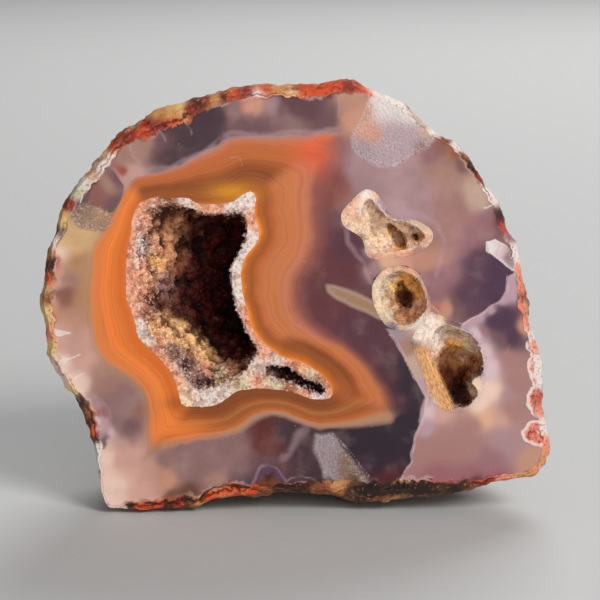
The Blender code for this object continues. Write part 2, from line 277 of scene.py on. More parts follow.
LOWER_WALL = [
    (412, 341), (421, 325), (431, 315), (446, 318), (461, 325), (474, 331), (482, 344), (486, 362),
    (486, 376), (481, 392), (476, 403), (464, 412), (452, 412), (439, 406), (429, 396), (424, 376),
    (416, 356),
]
CURVE_STEPS = 12


def rounded(corners, count):
    """Points spaced evenly along a closed smooth curve through the corners."""
    corners = np.array(corners, float)
    a, b, c, d = (np.roll(corners, turn, axis=0)[:, None] for turn in (1, 0, -1, -2))
    t = (np.arange(CURVE_STEPS) / CURVE_STEPS)[None, :, None]
    curve = b + t * (c - a) / 2 + t**2 * (a - 2.5 * b + 2 * c - d / 2) + t**3 * (1.5 * (b - c) + (d - a) / 2)
    curve = curve.reshape(-1, 2)
    closed = np.vstack((curve, curve[:1]))
    lengths = np.concatenate(([0], np.cumsum(np.linalg.norm(np.diff(closed, axis=0), axis=1))))
    wanted = np.arange(count) * lengths[-1] / count
    return np.stack([np.interp(wanted, lengths, closed[:, axis]) for axis in (0, 1)], axis=1)


print("wall of the main hollow", len(VUG_WALL), "corners")

# %% [markdown]
# ## Hollows
#
# A hollow is a stack of sections, each deeper in the stone and a little smaller than the one before. It could
# be sculpted, but a stack is exact where it meets the polish. One circle is added, its points are moved onto
# the first outline, and each further section is one extrusion of its edge, moved onto the next outline.

# %% Hollows
IN_FRONT = -1.0
OPEN_FRONT = [(IN_FRONT, 1.0, 0, 0), (0.0, 1.0, 0, 0)]
WALL_POINTS = 150


def grown(loop, by):
    """A closed loop moved outwards by a distance. The loop runs clockwise in the photograph."""
    along = np.roll(loop, -1, axis=0) - np.roll(loop, 1, axis=0)
    along /= np.linalg.norm(along, axis=1)[:, None]
    return loop + by * np.stack((-along[:, 1], along[:, 0]), axis=1)


def stack(name, loops, grow=0.0):
    """A closed solid through sections, from the front: rows of millimetres behind the face and points."""
    count = len(loops[0][1])
    bpy.ops.object.select_all(action="DESELECT")
    bpy.ops.mesh.primitive_circle_add(vertices=count)
    solid = bpy.context.object
    solid.name = name
    for number, (depth, drawn) in enumerate(loops):
        if number:
            choose(solid, "VERT", np.arange(len(solid.data.vertices)) >= (number - 1) * count)
            bpy.ops.mesh.extrude_edges_move()
            done()
        places = places_of(solid)
        loop = grown(on_face(drawn), grow)
        places[-count:] = np.stack((loop[:, 0], np.full(count, FACE_Y + depth * MM), loop[:, 1]), axis=1)
        move_to(solid, places)
    for first in (0, (len(loops) - 1) * count):
        numbers = np.arange(len(solid.data.vertices))
        choose(solid, "VERT", (numbers >= first) & (numbers < first + count))
        bpy.ops.mesh.edge_face_add()
        face_outwards()
    return solid


def tapered(outline, middle, levels, count):
    """Sections of one outline, shrunk towards a middle: levels has rows of depth, scale and shift."""
    loop = rounded(outline, count)
    return [
        (depth, middle + (loop - middle) * scale + (across, down)) for depth, scale, across, down in levels
    ]


WALLS = {
    "vug": (VUG_WALL, np.array((222, 292)), [
        (3.0, 1.0, 6, 2), (6.5, 0.9, 14, 4), (10.0, 0.76, 18, 6), (13.0, 0.5, 14, 6), (15.0, 0.22, 10, 4),
    ]),
    "upper": (UPPER_WALL, np.array((390, 232)), [(2.5, 0.97, 2, 1), (4.8, 0.8, 3, 1), (6.4, 0.5, 4, 1)]),
    "middle": (MIDDLE_WALL, np.array((403, 299)), [(2.5, 1.0, 2, 0), (5.2, 0.84, 4, 1), (6.6, 0.5, 5, 1)]),
    "lower": (LOWER_WALL, np.array((455, 368)), [(3.0, 1.0, 1, 1), (6.0, 0.93, 2, 2), (7.6, 0.6, 2, 3)]),
}
hollows = {}
for name, (outline, middle, levels) in WALLS.items():
    hollows[name] = stack(name + "_hollow", tapered(outline, middle, OPEN_FRONT + levels, WALL_POINTS))
print("hollows", {name: triangles(hollow) for name, hollow in hollows.items()})

# %% [markdown]
# ## The stone
#
# The stone is one piece, so it stays one closed mesh. Its skin starts as a copy of the packed solid. The cut
# face and the hollows are deleted from the copy, the open edge is drawn forward past the cut and closed, and
# the Remesh modifier turns the coarse facets into an even net that can carry lumps.

# %% The skin's even net
SKIN_NET = 0.00042
SMOOTHING = 0.5
SMOOTHING_TURNS = 6
FORWARD = 0.0015

bpy.ops.object.select_all(action="DESELECT")
stone = bpy.data.objects.new("agate_stone", frame["nodes"]["agate"].data.copy())
bpy.context.scene.collection.objects.link(stone)
stone.data.materials.clear()
choose(stone, "VERT", np.ones(len(stone.data.vertices), bool))
bpy.ops.mesh.remove_doubles(threshold=TINY)
done()

depth_of_point = places_of(stone)[:, 1] - FACE_Y
choose(stone, "FACE", [max(depth_of_point[list(face.vertices)]) < TINY for face in stone.data.polygons])
bpy.ops.mesh.delete(type="FACE")
done()
depth_of_point = places_of(stone)[:, 1]
choose(stone, "VERT", np.arange(len(depth_of_point)) == depth_of_point.argmax())
bpy.ops.mesh.select_linked()
bpy.ops.mesh.select_all(action="INVERT")
bpy.ops.mesh.delete(type="VERT")
bpy.ops.mesh.select_all(action="DESELECT")
bpy.ops.mesh.select_mode(type="EDGE")
bpy.ops.mesh.select_non_manifold()
bpy.ops.mesh.extrude_edges_move(TRANSFORM_OT_translate={"value": (0, -FORWARD, 0)})
bpy.ops.mesh.edge_face_add()
face_outwards()
work(stone, "REMESH", mode="VOXEL", voxel_size=SKIN_NET)
work(stone, "SMOOTH", factor=SMOOTHING, iterations=SMOOTHING_TURNS)
print("skin net", triangles(stone), "triangles")

# %% [markdown]
# The skin of such a nodule has lumps of about a millimetre, finer grit on them and small pits. Displace
# modifiers raise them from procedural textures, all smaller than the packed solid's own lumps. The points
# are then kept inside the packed box, which also leaves the flat spot that the stone stands on.

# %% Lumps, grit and pits on the skin
SKIN_RELIEF = [
    ("lumps", "VORONOI", 0.0017, -0.00045, 0.3),
    ("knobs", "CLOUDS", 0.0008, 0.00035, 0.55),
    ("grit", "CLOUDS", 0.0003, 0.00018, 0.5),
]


def roughened(piece, relief, group=""):
    """Raises relief on a piece: rows of name, texture, size, height and the level that stays put."""
    for name, kind, size, height, level in relief:
        texture = bpy.data.textures.new(name, kind)
        texture.noise_scale = size
        work(piece, "DISPLACE", texture=texture, strength=height, mid_level=level, vertex_group=group)


roughened(stone, SKIN_RELIEF)
move_to(stone, np.clip(places_of(stone), (cad_low.x, -math.inf, cad_low.z), cad_high))
print("skin box", [round(value * 1000, 1) for value in stone.dimensions], "mm")

# %% [markdown]
# The saw cut is a true plane. A fine upright grid, drawn back into a slab, is intersected with the lumpy
# body, so the polished face is flat to the last digit and still has enough points to carry its markings.
# Bisect would be quicker, but it would close the cut with a single face. Then the hollows are cut out.

# %% The cut face and the hollows
FACE_NET = 0.00024
SLAB_DEPTH = 0.030
SLAB_MARGIN = 2 * MM
width, height = cad_high.x - cad_low.x + SLAB_MARGIN, cad_high.z + SLAB_MARGIN

bpy.ops.object.select_all(action="DESELECT")
bpy.ops.mesh.primitive_grid_add(
    x_subdivisions=round(width / FACE_NET),
    y_subdivisions=round(height / FACE_NET),
    size=1,
    location=(0, FACE_Y, cad_high.z / 2),
    rotation=(math.pi / 2, 0, 0),
)
slab = bpy.context.object
slab.scale = (width, height, 1)
bpy.ops.object.transform_apply(location=True, rotation=True, scale=True)
choose(slab, "FACE", np.ones(len(slab.data.polygons), bool))
bpy.ops.mesh.extrude_region_move(TRANSFORM_OT_translate={"value": (0, SLAB_DEPTH, 0)})
face_outwards()
work(stone, "BOOLEAN", operation="INTERSECT", object=slab, solver="MANIFOLD")
for hollow in hollows.values():
    work(stone, "BOOLEAN", operation="DIFFERENCE", object=hollow, solver="MANIFOLD")
for cutter in (slab, *hollows.values()):
    bpy.data.objects.remove(cutter)
print("stone", triangles(stone), "triangles")

# %% [markdown]
# ## Markings on the polish
#
# The bands of an agate run parallel to the wall of its hollow and to the edge of each colour zone. So instead
# of drawing every band, the mesh stores how far each point lies between two drawn lines, and the material
# turns that number into bands with colour ramps. Distances to other drawn lines give seams, veils and the
# rind in the same way. An image texture would need an image, and these lines stay sharp at any size.

# %% Distances to drawn lines


def distance_to(points, line, closed=False):
    """How far each point is from a drawn line."""
    line = np.array(line, float)
    if closed:
        line = np.vstack((line, line[:1]))
    nearest = np.full(len(points), np.inf)
    for start, end in zip(line, line[1:]):
        along = end - start
        share = np.clip((points - start) @ along / (along @ along), 0, 1)
        nearest = np.minimum(nearest, np.linalg.norm(points - start - share[:, None] * along, axis=1))
    return nearest


def depth_in(points, loop):
    """How far each point is inside a drawn loop, less than 0 outside it."""
    loop = np.array(loop, float)
    odd = np.zeros(len(points), bool)
    for (ax, ay), (bx, by) in zip(loop, np.roll(loop, -1, axis=0)):
        if ay == by:
            continue
        crosses = (ay > points[:, 1]) != (by > points[:, 1])
        odd ^= crosses & (points[:, 0] < ax + (points[:, 1] - ay) * (bx - ax) / (by - ay))
    return np.where(odd, 1, -1) * distance_to(points, loop, closed=True)


def depth_in_any(points, loops):
    """How far each point is inside the nearest of several loops, less than 0 outside them all."""
    return np.max([depth_in(points, loop) for loop in loops], axis=0)


def store(piece, name, values):
    """Keeps a number or a colour for each point of a piece, for its material to read."""
    values = np.asarray(values, float)
    kind, field = ("FLOAT", "value") if values.ndim == 1 else ("FLOAT_COLOR", "color")
    if values.ndim == 2:
        values = np.column_stack((values, np.ones(len(values))))
    attribute = piece.data.attributes.new(name, kind, "POINT")
    attribute.data.foreach_set(field, values.ravel())


def smooth_step(value, low, high):
    """0 below low, 1 above high, and a smooth rise between."""
    share = np.clip((value - low) / (high - low), 0, 1)
    return share * share * (3 - 2 * share)


photo_points = in_photo(places_of(stone))
print("stone points", len(photo_points))

# %% [markdown]
# The orange zone reaches from the wall of the main hollow to an edge of its own. Each point gets its share of
# the way between those two lines: 0 at the wall, 1 at the edge and more beyond it. The colours of the bands
# differ from side to side, so drawn sectors, blurred where they meet, say on which side a point lies. A mesh
# for each band would show its edges in the polish.

# %% The bands round the main hollow
ORANGE_EDGE = [
    (135, 177), (150, 174), (165, 171), (180, 167), (190, 160), (200, 154), (210, 150), (220, 145),
    (228, 138), (240, 136), (255, 137), (270, 137), (290, 136), (310, 135), (332, 133), (345, 134),
    (347, 150), (344, 165), (338, 180), (331, 200), (330, 222), (332, 240), (326, 262), (314, 282),
    (310, 300), (318, 318), (337, 333), (357, 346), (375, 362), (390, 384), (400, 407), (391, 422),
    (360, 426), (340, 428), (320, 429), (305, 425), (295, 421), (285, 417), (275, 415), (265, 416),
    (256, 420), (248, 426), (240, 432), (225, 437), (210, 439), (195, 440), (180, 443), (170, 447),
    (160, 451), (145, 458), (146, 446), (147, 430), (147, 415), (145, 402), (140, 391), (131, 382),
    (118, 373), (105, 364), (96, 354), (91, 342), (88, 320), (87, 290), (89, 270), (90, 255), (94, 243),
    (102, 231), (110, 219), (117, 205), (125, 190),
]
SECTORS = {
    "tail": [(254, 350), (290, 338), (345, 345), (420, 420), (328, 392), (290, 374)],
    "top": [(150, 212), (126, 180), (95, 120), (150, 60), (420, 60), (346, 134), (310, 152), (247, 200)],
    "under": [(200, 392), (147, 457), (100, 530), (600, 560), (600, 470), (392, 411), (328, 392), (260, 380)],
    "left": [(150, 212), (126, 180), (95, 120), (0, 120), (0, 560), (100, 530), (147, 457), (200, 392)],
}
SECTOR_BLUR = 7
BEYOND = 60

from_wall = np.maximum(0, -depth_in(photo_points, VUG_WALL))
in_orange = depth_in(photo_points, ORANGE_EDGE)
within = from_wall / np.maximum(from_wall + in_orange, TINY)
store(stone, "band", np.where(in_orange > 0, within, 1 - in_orange / BEYOND))
for name, loop in SECTORS.items():
    store(stone, name, smooth_step(depth_in(photo_points, loop), -SECTOR_BLUR, SECTOR_BLUR))
print("points in the orange zone", int((in_orange > 0).sum()))

# %% [markdown]
# ## Colours
#
# The palette was mixed, and corrected where renders differed from the photograph. Screen colours are
# written from 0 to 255, and the shader needs them linear. Outside the bands the agate changes softly. Rows of
# a place, a reach and a colour are blended into a tint for every point, like washes of paint that run
# together. A brush could paint them too, but then each change would mean painting again.

# %% Palette
PALETTE = {
    "amber": (238, 138, 48), "gold": (205, 134, 24), "gold brown": (188, 98, 22), "umber": (148, 76, 26),
    "dark brown": (128, 64, 24), "brown orange": (180, 95, 46), "burnt orange": (212, 112, 42),
    "bright orange": (230, 122, 48), "peach orange": (234, 134, 74), "peach": (190, 110, 64),
    "clay": (184, 110, 80), "mauve brown": (136, 76, 66), "maroon": (96, 48, 52), "red orange": (222, 90, 46),
    "olive brown": (158, 98, 50), "straw": (184, 134, 92), "pale edge": (172, 140, 134),
    "near black": (42, 27, 40), "plum": (84, 46, 58), "purple": (72, 44, 66),
    "lilac": (160, 126, 128), "pale lilac": (176, 142, 146), "grey mauve": (138, 104, 102),
    "rose mauve": (158, 114, 108), "dusk": (106, 74, 78), "purple brown": (92, 58, 64),
    "beige brown": (158, 118, 104), "cream beige": (206, 166, 120), "warm beige": (184, 154, 136),
    "pale pink": (206, 176, 180), "pink beige": (196, 150, 136), "cream pink": (226, 192, 176),
    "rose": (150, 80, 90), "peach glow": (212, 164, 132), "tan": (182, 134, 112), "pink tan": (190, 136, 112),
    "red maroon": (92, 36, 34), "wine": (80, 30, 40), "salmon": (200, 140, 118), "rose red": (168, 84, 82),
    "dusk rose": (146, 92, 98), "mauve": (144, 100, 106), "smoke": (104, 66, 50), "olive tan": (172, 126, 90),
    "clay brown": (132, 84, 76), "violet shadow": (64, 42, 50), "lilac glow": (176, 144, 152),
    "dim purple": (84, 54, 70), "amber shade": (204, 98, 28), "soft orange": (212, 118, 58),
    "cast rust": (150, 66, 36), "arc rust": (160, 92, 70),
}
FALLOFF = 2.5


def linear(name):
    """A palette colour as the shader needs it."""
    share = np.array(PALETTE[name]) / 255
    return np.where(share <= 0.04045, share / 12.92, ((share + 0.055) / 1.055) ** 2.4)


def blend(points, rows):
    """The soft blend at each point. rows has across, down, reach and a number or a palette name."""
    total, weights = 0, 0
    for across, down, reach, value in rows:
        near = np.hypot(points[:, 0] - across, points[:, 1] - down) / reach
        weight = 1 / (1 + near**2) ** FALLOFF
        total = total + weight * (linear(value)[:, None] if isinstance(value, str) else value)
        weights = weights + weight
    return (total / weights).T


print("palette", len(PALETTE), "colours")

# %% Soft tints outside the bands
from mathutils import noise as soft_noise

NOISE_SEED = 1
soft_noise.seed_set(NOISE_SEED)

TINTS = [
    (136, 150, 9, "beige brown"), (147, 142, 8, "beige brown"), (160, 140, 9, "dusk"),
    (88, 190, 16, "dusk"), (72, 243, 14, "cream beige"), (62, 232, 6, "cream beige"),
    (61, 252, 7, "cream pink"), (59, 270, 4, "salmon"), (200, 126, 18, "violet shadow"),
    (182, 146, 16, "violet shadow"), (212, 116, 10, "violet shadow"), (190, 114, 9, "violet shadow"),
    (232, 112, 9, "grey mauve"), (252, 108, 8, "salmon"), (272, 104, 7, "lilac"), (256, 124, 10, "dusk"),
    (240, 127, 8, "dusk"), (292, 100, 10, "purple brown"), (308, 105, 14, "purple brown"),
    (296, 124, 9, "grey mauve"), (325, 116, 10, "dusk"), (345, 100, 8, "tan"), (352, 120, 8, "pink tan"),
    (365, 178, 16, "lilac"), (395, 188, 16, "lilac"), (400, 206, 9, "pale lilac"), (420, 202, 12, "lilac"),
    (431, 152, 6, "mauve"), (442, 145, 6, "clay brown"), (440, 170, 9, "beige brown"),
    (457, 157, 5, "umber"), (132, 173, 8, "pink beige"), (455, 176, 12, "beige brown"),
    (468, 188, 9, "warm beige"), (478, 198, 9, "warm beige"), (484, 222, 9, "mauve"),
    (450, 212, 16, "rose mauve"), (446, 240, 14, "rose mauve"), (446, 144, 6, "arc rust"),
    (463, 167, 6, "purple brown"), (504, 203, 6, "red maroon"), (497, 222, 9, "red maroon"),
    (508, 232, 6, "clay brown"), (466, 244, 12, "mauve"), (480, 258, 9, "dim purple"),
    (478, 272, 12, "dim purple"), (496, 284, 14, "purple"), (502, 262, 8, "purple"),
    (470, 292, 12, "dim purple"), (448, 276, 10, "mauve"), (440, 290, 7, "mauve"),
    (444, 308, 7, "pink tan"), (456, 306, 8, "dusk"), (432, 257, 8, "pink tan"),
    (386, 261, 6, "peach glow"), (404, 259, 6, "salmon"), (350, 250, 13, "plum"),
    (364, 253, 4, "pale lilac"), (371, 270, 6, "lilac"), (340, 268, 16, "maroon"), (355, 325, 18, "plum"),
    (338, 305, 16, "maroon"), (398, 385, 15, "near black"), (374, 346, 14, "plum"),
    (392, 376, 5, "purple brown"), (402, 398, 5, "purple brown"), (402, 428, 18, "near black"),
    (372, 450, 18, "near black"), (390, 480, 9, "wine"), (364, 486, 6, "smoke"),
    (335, 190, 12, "mauve brown"), (344, 212, 9, "dusk"), (300, 442, 10, "violet shadow"),
    (286, 434, 8, "violet shadow"), (262, 440, 12, "red maroon"), (240, 446, 9, "grey mauve"),
    (306, 466, 12, "violet shadow"), (284, 466, 8, "purple brown"), (258, 466, 8, "dusk"),
    (228, 462, 13, "grey mauve"), (238, 478, 8, "dusk"), (195, 452, 12, "grey mauve"),
    (164, 460, 7, "grey mauve"), (190, 468, 13, "grey mauve"), (165, 478, 11, "pink tan"),
    (174, 495, 7, "smoke"), (190, 493, 9, "smoke"), (219, 481, 8, "beige brown"),
    (246, 482, 8, "violet shadow"), (142, 485, 14, "pink beige"), (104, 460, 8, "cream pink"),
    (112, 488, 14, "cream pink"), (122, 462, 13, "pink beige"), (105, 505, 9, "cream pink"),
    (116, 422, 9, "grey mauve"), (130, 426, 8, "dusk"), (124, 398, 11, "grey mauve"),
    (141, 411, 6, "clay brown"), (108, 376, 10, "beige brown"), (86, 352, 12, "pink beige"),
    (66, 335, 9, "pink beige"), (62, 365, 6, "cream pink"), (79, 384, 6, "cream pink"),
    (108, 432, 6, "pale pink"), (64, 298, 8, "clay brown"), (66, 277, 7, "beige brown"),
    (53, 284, 6, "pink beige"), (53, 262, 4, "rose red"), (55, 306, 7, "salmon"), (80, 262, 8, "olive tan"),
    (80, 300, 8, "olive tan"), (74, 318, 8, "tan"), (92, 232, 8, "cream beige"), (120, 168, 3, "cast rust"),
]
GROUND_DRIFT = [(26, 7), (9, 2)]


def wandering(points, drifts):
    """Points pushed about by soft noise, so that what is drawn with them loses its regular shape.
    drifts has rows of the size of the noise's clouds and how far it pushes."""
    for size, by in drifts:
        pushed = [soft_noise.noise_vector((across / size, down / size, 0))[:2] for across, down in points]
        points = points + by * np.array(pushed)
    return points


store(stone, "tint", blend(wandering(photo_points, GROUND_DRIFT), TINTS))
print("soft tints", len(TINTS))

# %% [markdown]
# Old cracks broke the agate before it healed. The blocks between them have tints of their own inside a sharp
# line, and three patches are frosted with tiny crystals that the polish cut open. They are washes again, kept
# inside drawn loops. Cutting them out as pieces would be wrong, because the polish runs over them unbroken.

# %% Blocks between old cracks
BLOCKS = [
    [(462, 324), (469, 319), (479, 315), (487, 309), (501, 301), (507, 291), (508, 276), (516, 272),
     (560, 262), (575, 500), (398, 500), (401, 480), (405, 472), (411, 462), (413, 450), (416, 436),
     (421, 422), (424, 412), (425, 400), (440, 380), (450, 350)],
    [(92, 186), (103, 174), (113, 170), (124, 186), (121, 200), (112, 213), (101, 207), (88, 203)],
    [(384, 328), (390, 334), (397, 341), (402, 352), (408, 365), (416, 380), (425, 397), (440, 404),
     (440, 360), (446, 322), (432, 311), (420, 320), (404, 331)],
    [(487, 242), (495, 239), (506, 245), (514, 256), (514, 271), (508, 268), (498, 259), (489, 252)],
]
PALETTE.update({
    "frost white": (216, 208, 202), "frost grey": (150, 132, 136), "frost brown": (130, 98, 78),
    "frost lilac": (168, 144, 150),
})
BLOCK_TINTS = [
    (470, 322, 4, "lilac glow"), (480, 316, 4, "lilac glow"), (491, 311, 3, "lilac glow"),
    (503, 300, 3, "lilac glow"), (511, 290, 5, "lilac glow"), (514, 280, 5, "lilac glow"),
    (506, 321, 8, "purple"), (494, 320, 6, "purple"), (512, 337, 7, "purple"), (484, 330, 4, "mauve"),
    (500, 342, 7, "dusk"), (487, 350, 6, "pale pink"), (491, 368, 7, "pale pink"),
    (493, 392, 8, "cream pink"), (476, 334, 4, "pale pink"), (527, 326, 5, "pink tan"),
    (508, 362, 8, "rose mauve"), (516, 384, 9, "rose mauve"), (506, 396, 7, "lilac"),
    (480, 404, 7, "cream pink"), (503, 420, 8, "pink beige"), (486, 418, 9, "peach glow"),
    (472, 426, 8, "rose mauve"), (512, 412, 11, "rose mauve"), (505, 440, 14, "lilac"),
    (444, 414, 6, "pink beige"), (428, 431, 6, "lilac glow"), (432, 446, 12, "rose mauve"),
    (466, 446, 15, "rose mauve"), (490, 462, 12, "mauve"), (440, 474, 9, "dusk rose"),
    (466, 476, 9, "dusk rose"), (496, 479, 7, "rose"), (476, 482, 6, "red maroon"), (530, 460, 8, "tan"),
    (424, 405, 5, "lilac glow"), (428, 412, 5, "pale pink"), (98, 196, 8, "clay brown"),
    (108, 186, 7, "beige brown"), (116, 180, 6, "dusk"), (112, 202, 7, "dusk"), (95, 188, 5, "clay brown"),
    (396, 336, 6, "frost grey"), (409, 347, 7, "beige brown"), (412, 366, 7, "warm beige"),
    (422, 388, 5, "lilac glow"), (424, 318, 8, "cream pink"), (440, 316, 6, "pink tan"),
    (491, 250, 4, "frost white"), (500, 254, 5, "pale pink"), (507, 256, 4, "grey mauve"),
    (511, 266, 4, "frost grey"),
]
BLOCK_DRIFT = [(14, 3)]
BLOCK_BLUR = 0.7

store(stone, "block", blend(wandering(photo_points, BLOCK_DRIFT), BLOCK_TINTS))
store(stone, "block_edge", depth_in_any(photo_points, BLOCKS))
print("blocks", len(BLOCKS))

# %% Frosted patches
FROST = [
    [(372, 90), (391, 94), (411, 108), (426, 126), (438, 137), (430, 147), (415, 155), (405, 163),
     (395, 168), (380, 168), (362, 161), (352, 150), (350, 135), (358, 120), (365, 105)],
    [(314, 433), (324, 434), (333, 433), (343, 447), (353, 460), (369, 478), (362, 488), (324, 488),
     (320, 465), (313, 450)],
    [(68, 214), (80, 204), (90, 203), (101, 207), (112, 215), (114, 222), (104, 232), (94, 233), (78, 228)],
]
FROST_TINTS = [
    (388, 102, 11, "frost white"), (408, 114, 9, "frost white"), (424, 132, 6, "warm beige"),
    (402, 138, 14, "frost lilac"), (369, 132, 6, "salmon"), (376, 134, 4, "pink tan"),
    (362, 150, 7, "frost grey"), (386, 158, 8, "frost lilac"), (420, 146, 5, "grey mauve"),
    (362, 110, 7, "tan"), (322, 446, 9, "frost grey"), (328, 466, 8, "frost grey"),
    (348, 466, 8, "frost brown"), (355, 482, 8, "smoke"), (336, 484, 5, "frost grey"),
    (86, 214, 12, "frost brown"), (100, 214, 7, "olive tan"), (104, 226, 7, "frost brown"),
]
store(stone, "frost_tint", blend(photo_points, FROST_TINTS))
store(stone, "frost", depth_in_any(photo_points, FROST))
print("frosted patches", len(FROST))

# %% [markdown]
# Healed cracks, pale veils and thin white and dark lines cross the agate. They are only colour in a flat
# polish, so nothing is engraved. Each is drawn as an open line with a width, bent a little by soft noise, and
# the mesh stores how many widths away the nearest line of its kind is.

# %% Seams, veils, white and dark lines
SEAMS = [
    (2.4, [(426, 396), (424, 412), (421, 422)]),
    (1.3, [(421, 422), (416, 436), (413, 450), (411, 462), (405, 472), (401, 480)]),
    (1.2, [(462, 324), (469, 319), (479, 315), (487, 309), (501, 301), (507, 291), (508, 276)]),
    (1.0, [(474, 331), (480, 341), (484, 358), (486, 372)]),
    (1.4, [(390, 334), (397, 341), (402, 352), (408, 365), (416, 380), (425, 394)]),
    (0.9, [(334, 434), (349, 452), (359, 463), (369, 477)]),
    (1.1, [(432, 306), (440, 316), (452, 322), (462, 324), (468, 331), (474, 331)]),
]
VEILS = [
    (1.6, [(127, 141), (138, 164)]),
    (1.8, [(112, 167), (127, 181), (126, 189)]),
    (1.5, [(182, 118), (192, 134)]),
    (1.4, [(158, 128), (166, 140)]),
    (2.8, [(128, 178), (141, 171), (170, 167), (196, 156), (212, 146), (225, 136), (233, 132), (248, 134),
           (271, 134), (294, 132), (315, 132), (327, 130), (338, 128)]),
    (1.8, [(338, 98), (339, 117)]),
    (1.0, [(231, 158), (237, 157), (242, 161), (243, 166)]),
    (2.4, [(343, 222), (348, 240), (357, 256), (364, 262), (370, 282)]),
    (2.6, [(402, 210), (420, 214), (436, 222), (444, 240), (442, 256), (436, 274)]),
    (4.5, [(283, 458), (290, 452), (294, 444), (297, 436), (305, 430)]),
    (1.4, [(252, 494), (253, 484), (256, 474), (261, 467), (269, 465), (277, 468), (282, 474), (286, 482)]),
    (1.2, [(286, 482), (292, 478), (300, 476), (309, 478), (318, 484)]),
    (0.7, [(505, 356), (510, 344)]),
    (1.2, [(80, 397), (88, 393), (98, 396), (106, 404), (111, 418), (110, 438)]),
    (1.0, [(88, 402), (97, 406), (102, 416), (102, 430)]),
]
WHITE_LINES = [
    (1.5, [(487, 242), (488, 250), (497, 258), (505, 264), (512, 270)]),
    (0.9, [(487, 242), (495, 239), (506, 245), (514, 256), (514, 270), (517, 280)]),
    (0.8, [(503, 245), (498, 256)]),
    (0.7, [(503, 249), (513, 260)]),
    (1.0, [(484, 208), (494, 204), (503, 200)]),
    (0.8, [(497, 196), (495, 204), (503, 211)]),
    (1.4, [(76, 181), (87, 187)]),
    (1.2, [(77, 188), (82, 194), (81, 203)]),
    (2.6, [(96, 168), (103, 166), (108, 164)]),
    (1.4, [(85, 176), (92, 170)]),
    (1.0, [(546, 424), (547, 438), (542, 455), (541, 468)]),
    (1.3, [(49, 328), (58, 331), (69, 333), (50, 336)]),
    (2.2, [(51, 332), (60, 333)]),
    (1.2, [(57, 362), (68, 359), (79, 354)]),
    (0.9, [(62, 365), (71, 357)]),
    (0.9, [(74, 379), (84, 373)]),
]
DARK_LINES = [
    (1.1, [(374, 280), (380, 273), (387, 269)]),
    (1.2, [(401, 266), (408, 267), (415, 271), (419, 275)]),
    (0.8, [(88, 203), (101, 207), (112, 213)]),
    # The last four dark lines run along the lower edge of the polish and darken it there.
    (3.6, [(356, 493), (372, 493), (395, 492), (408, 491)]),
    (2.4, [(408, 491), (425, 491), (445, 493), (462, 492), (480, 488), (490, 484)]),
    (1.6, [(200, 500), (206, 492), (216, 487), (234, 484), (250, 488), (262, 491)]),
    (1.4, [(129, 506), (138, 503), (156, 503)]),
]
LINE_DRIFT = [(11, 2.0)]


def nearest_line(points, lines):
    """Distance to the nearest of several lines, each measured in its own widths."""
    return np.min([distance_to(points, line) / line_width for line_width, line in lines], axis=0)


bent_points = wandering(photo_points, LINE_DRIFT)
for name, lines in (("seam", SEAMS), ("veil", VEILS), ("white", WHITE_LINES), ("dark", DARK_LINES)):
    store(stone, name, nearest_line(bent_points, lines))
    print(name, len(lines), "lines")

# %% [markdown]
# The agate also grew round older things: a tan needle, a row of small nodules along the right side and two
# patchy spots near the lower edge. Each is a drawn loop, and its colour follows the depth inside it. Modelled
# as separate solids they would need gaps that the real polish doesn't show. Seven soft ellipses add the wide
# places that are warmer or darker than what lies round them: five are a painted glow where light shines
# through the stone, one is a painted shade, and one is a small red spot.

# %% The needle, the nodules and the spots
NEEDLE = [
    (325, 284), (333, 284), (350, 289), (368, 297), (379, 303), (384, 312), (387, 322), (380, 320),
    (366, 313), (350, 307), (335, 299), (327, 292),
]
NODULES = [
    [(523, 276), (528, 273), (532, 281), (533, 292), (536, 303), (538, 316), (537, 328), (531, 330),
     (527, 322), (525, 308), (526, 295)],
    [(529, 338), (533, 331), (539, 333), (543, 342), (543, 352), (539, 358), (532, 357), (528, 350),
     (526, 344)],
    [(529, 362), (534, 354), (541, 357), (545, 368), (547, 378), (543, 387), (535, 387), (531, 379),
     (528, 370)],
    [(527, 394), (533, 387), (541, 387), (546, 397), (547, 408), (543, 417), (534, 416), (527, 408),
     (525, 400)],
    [(524, 427), (530, 420), (540, 420), (547, 428), (548, 440), (541, 447), (532, 445), (524, 440),
     (521, 433)],
    [(549, 442), (555, 442), (556, 458), (549, 472), (541, 472), (547, 458)],
]
ORANGE_ABOVE = (334, 326)
ORANGE_BELOW = (444, 450)
SPOTS = [
    [(84, 398), (92, 396), (100, 400), (107, 409), (110, 424), (109, 440), (104, 448), (96, 446), (88, 434),
     (80, 418), (76, 404)],
    [(252, 500), (253, 478), (258, 469), (267, 465), (276, 467), (282, 474), (286, 483), (300, 479),
     (318, 487), (330, 500)],
]
NODULE_POINTS = 40
SPOT_POINTS = 60
SPOT_DRIFT = [(9, 2.4), (4, 1.6)]

uneven_points = wandering(photo_points, SPOT_DRIFT)
down_photo = photo_points[:, 1]
store(stone, "needle", depth_in(photo_points, NEEDLE))
store(stone, "nodule", depth_in_any(uneven_points, [rounded(loop, NODULE_POINTS) for loop in NODULES]))
store(stone, "orange", smooth_step(down_photo, *ORANGE_ABOVE) + smooth_step(down_photo, *ORANGE_BELOW))
store(stone, "spot", depth_in_any(uneven_points, [rounded(loop, SPOT_POINTS) for loop in SPOTS]))
print("nodules", len(NODULES), "and spots", len(SPOTS))

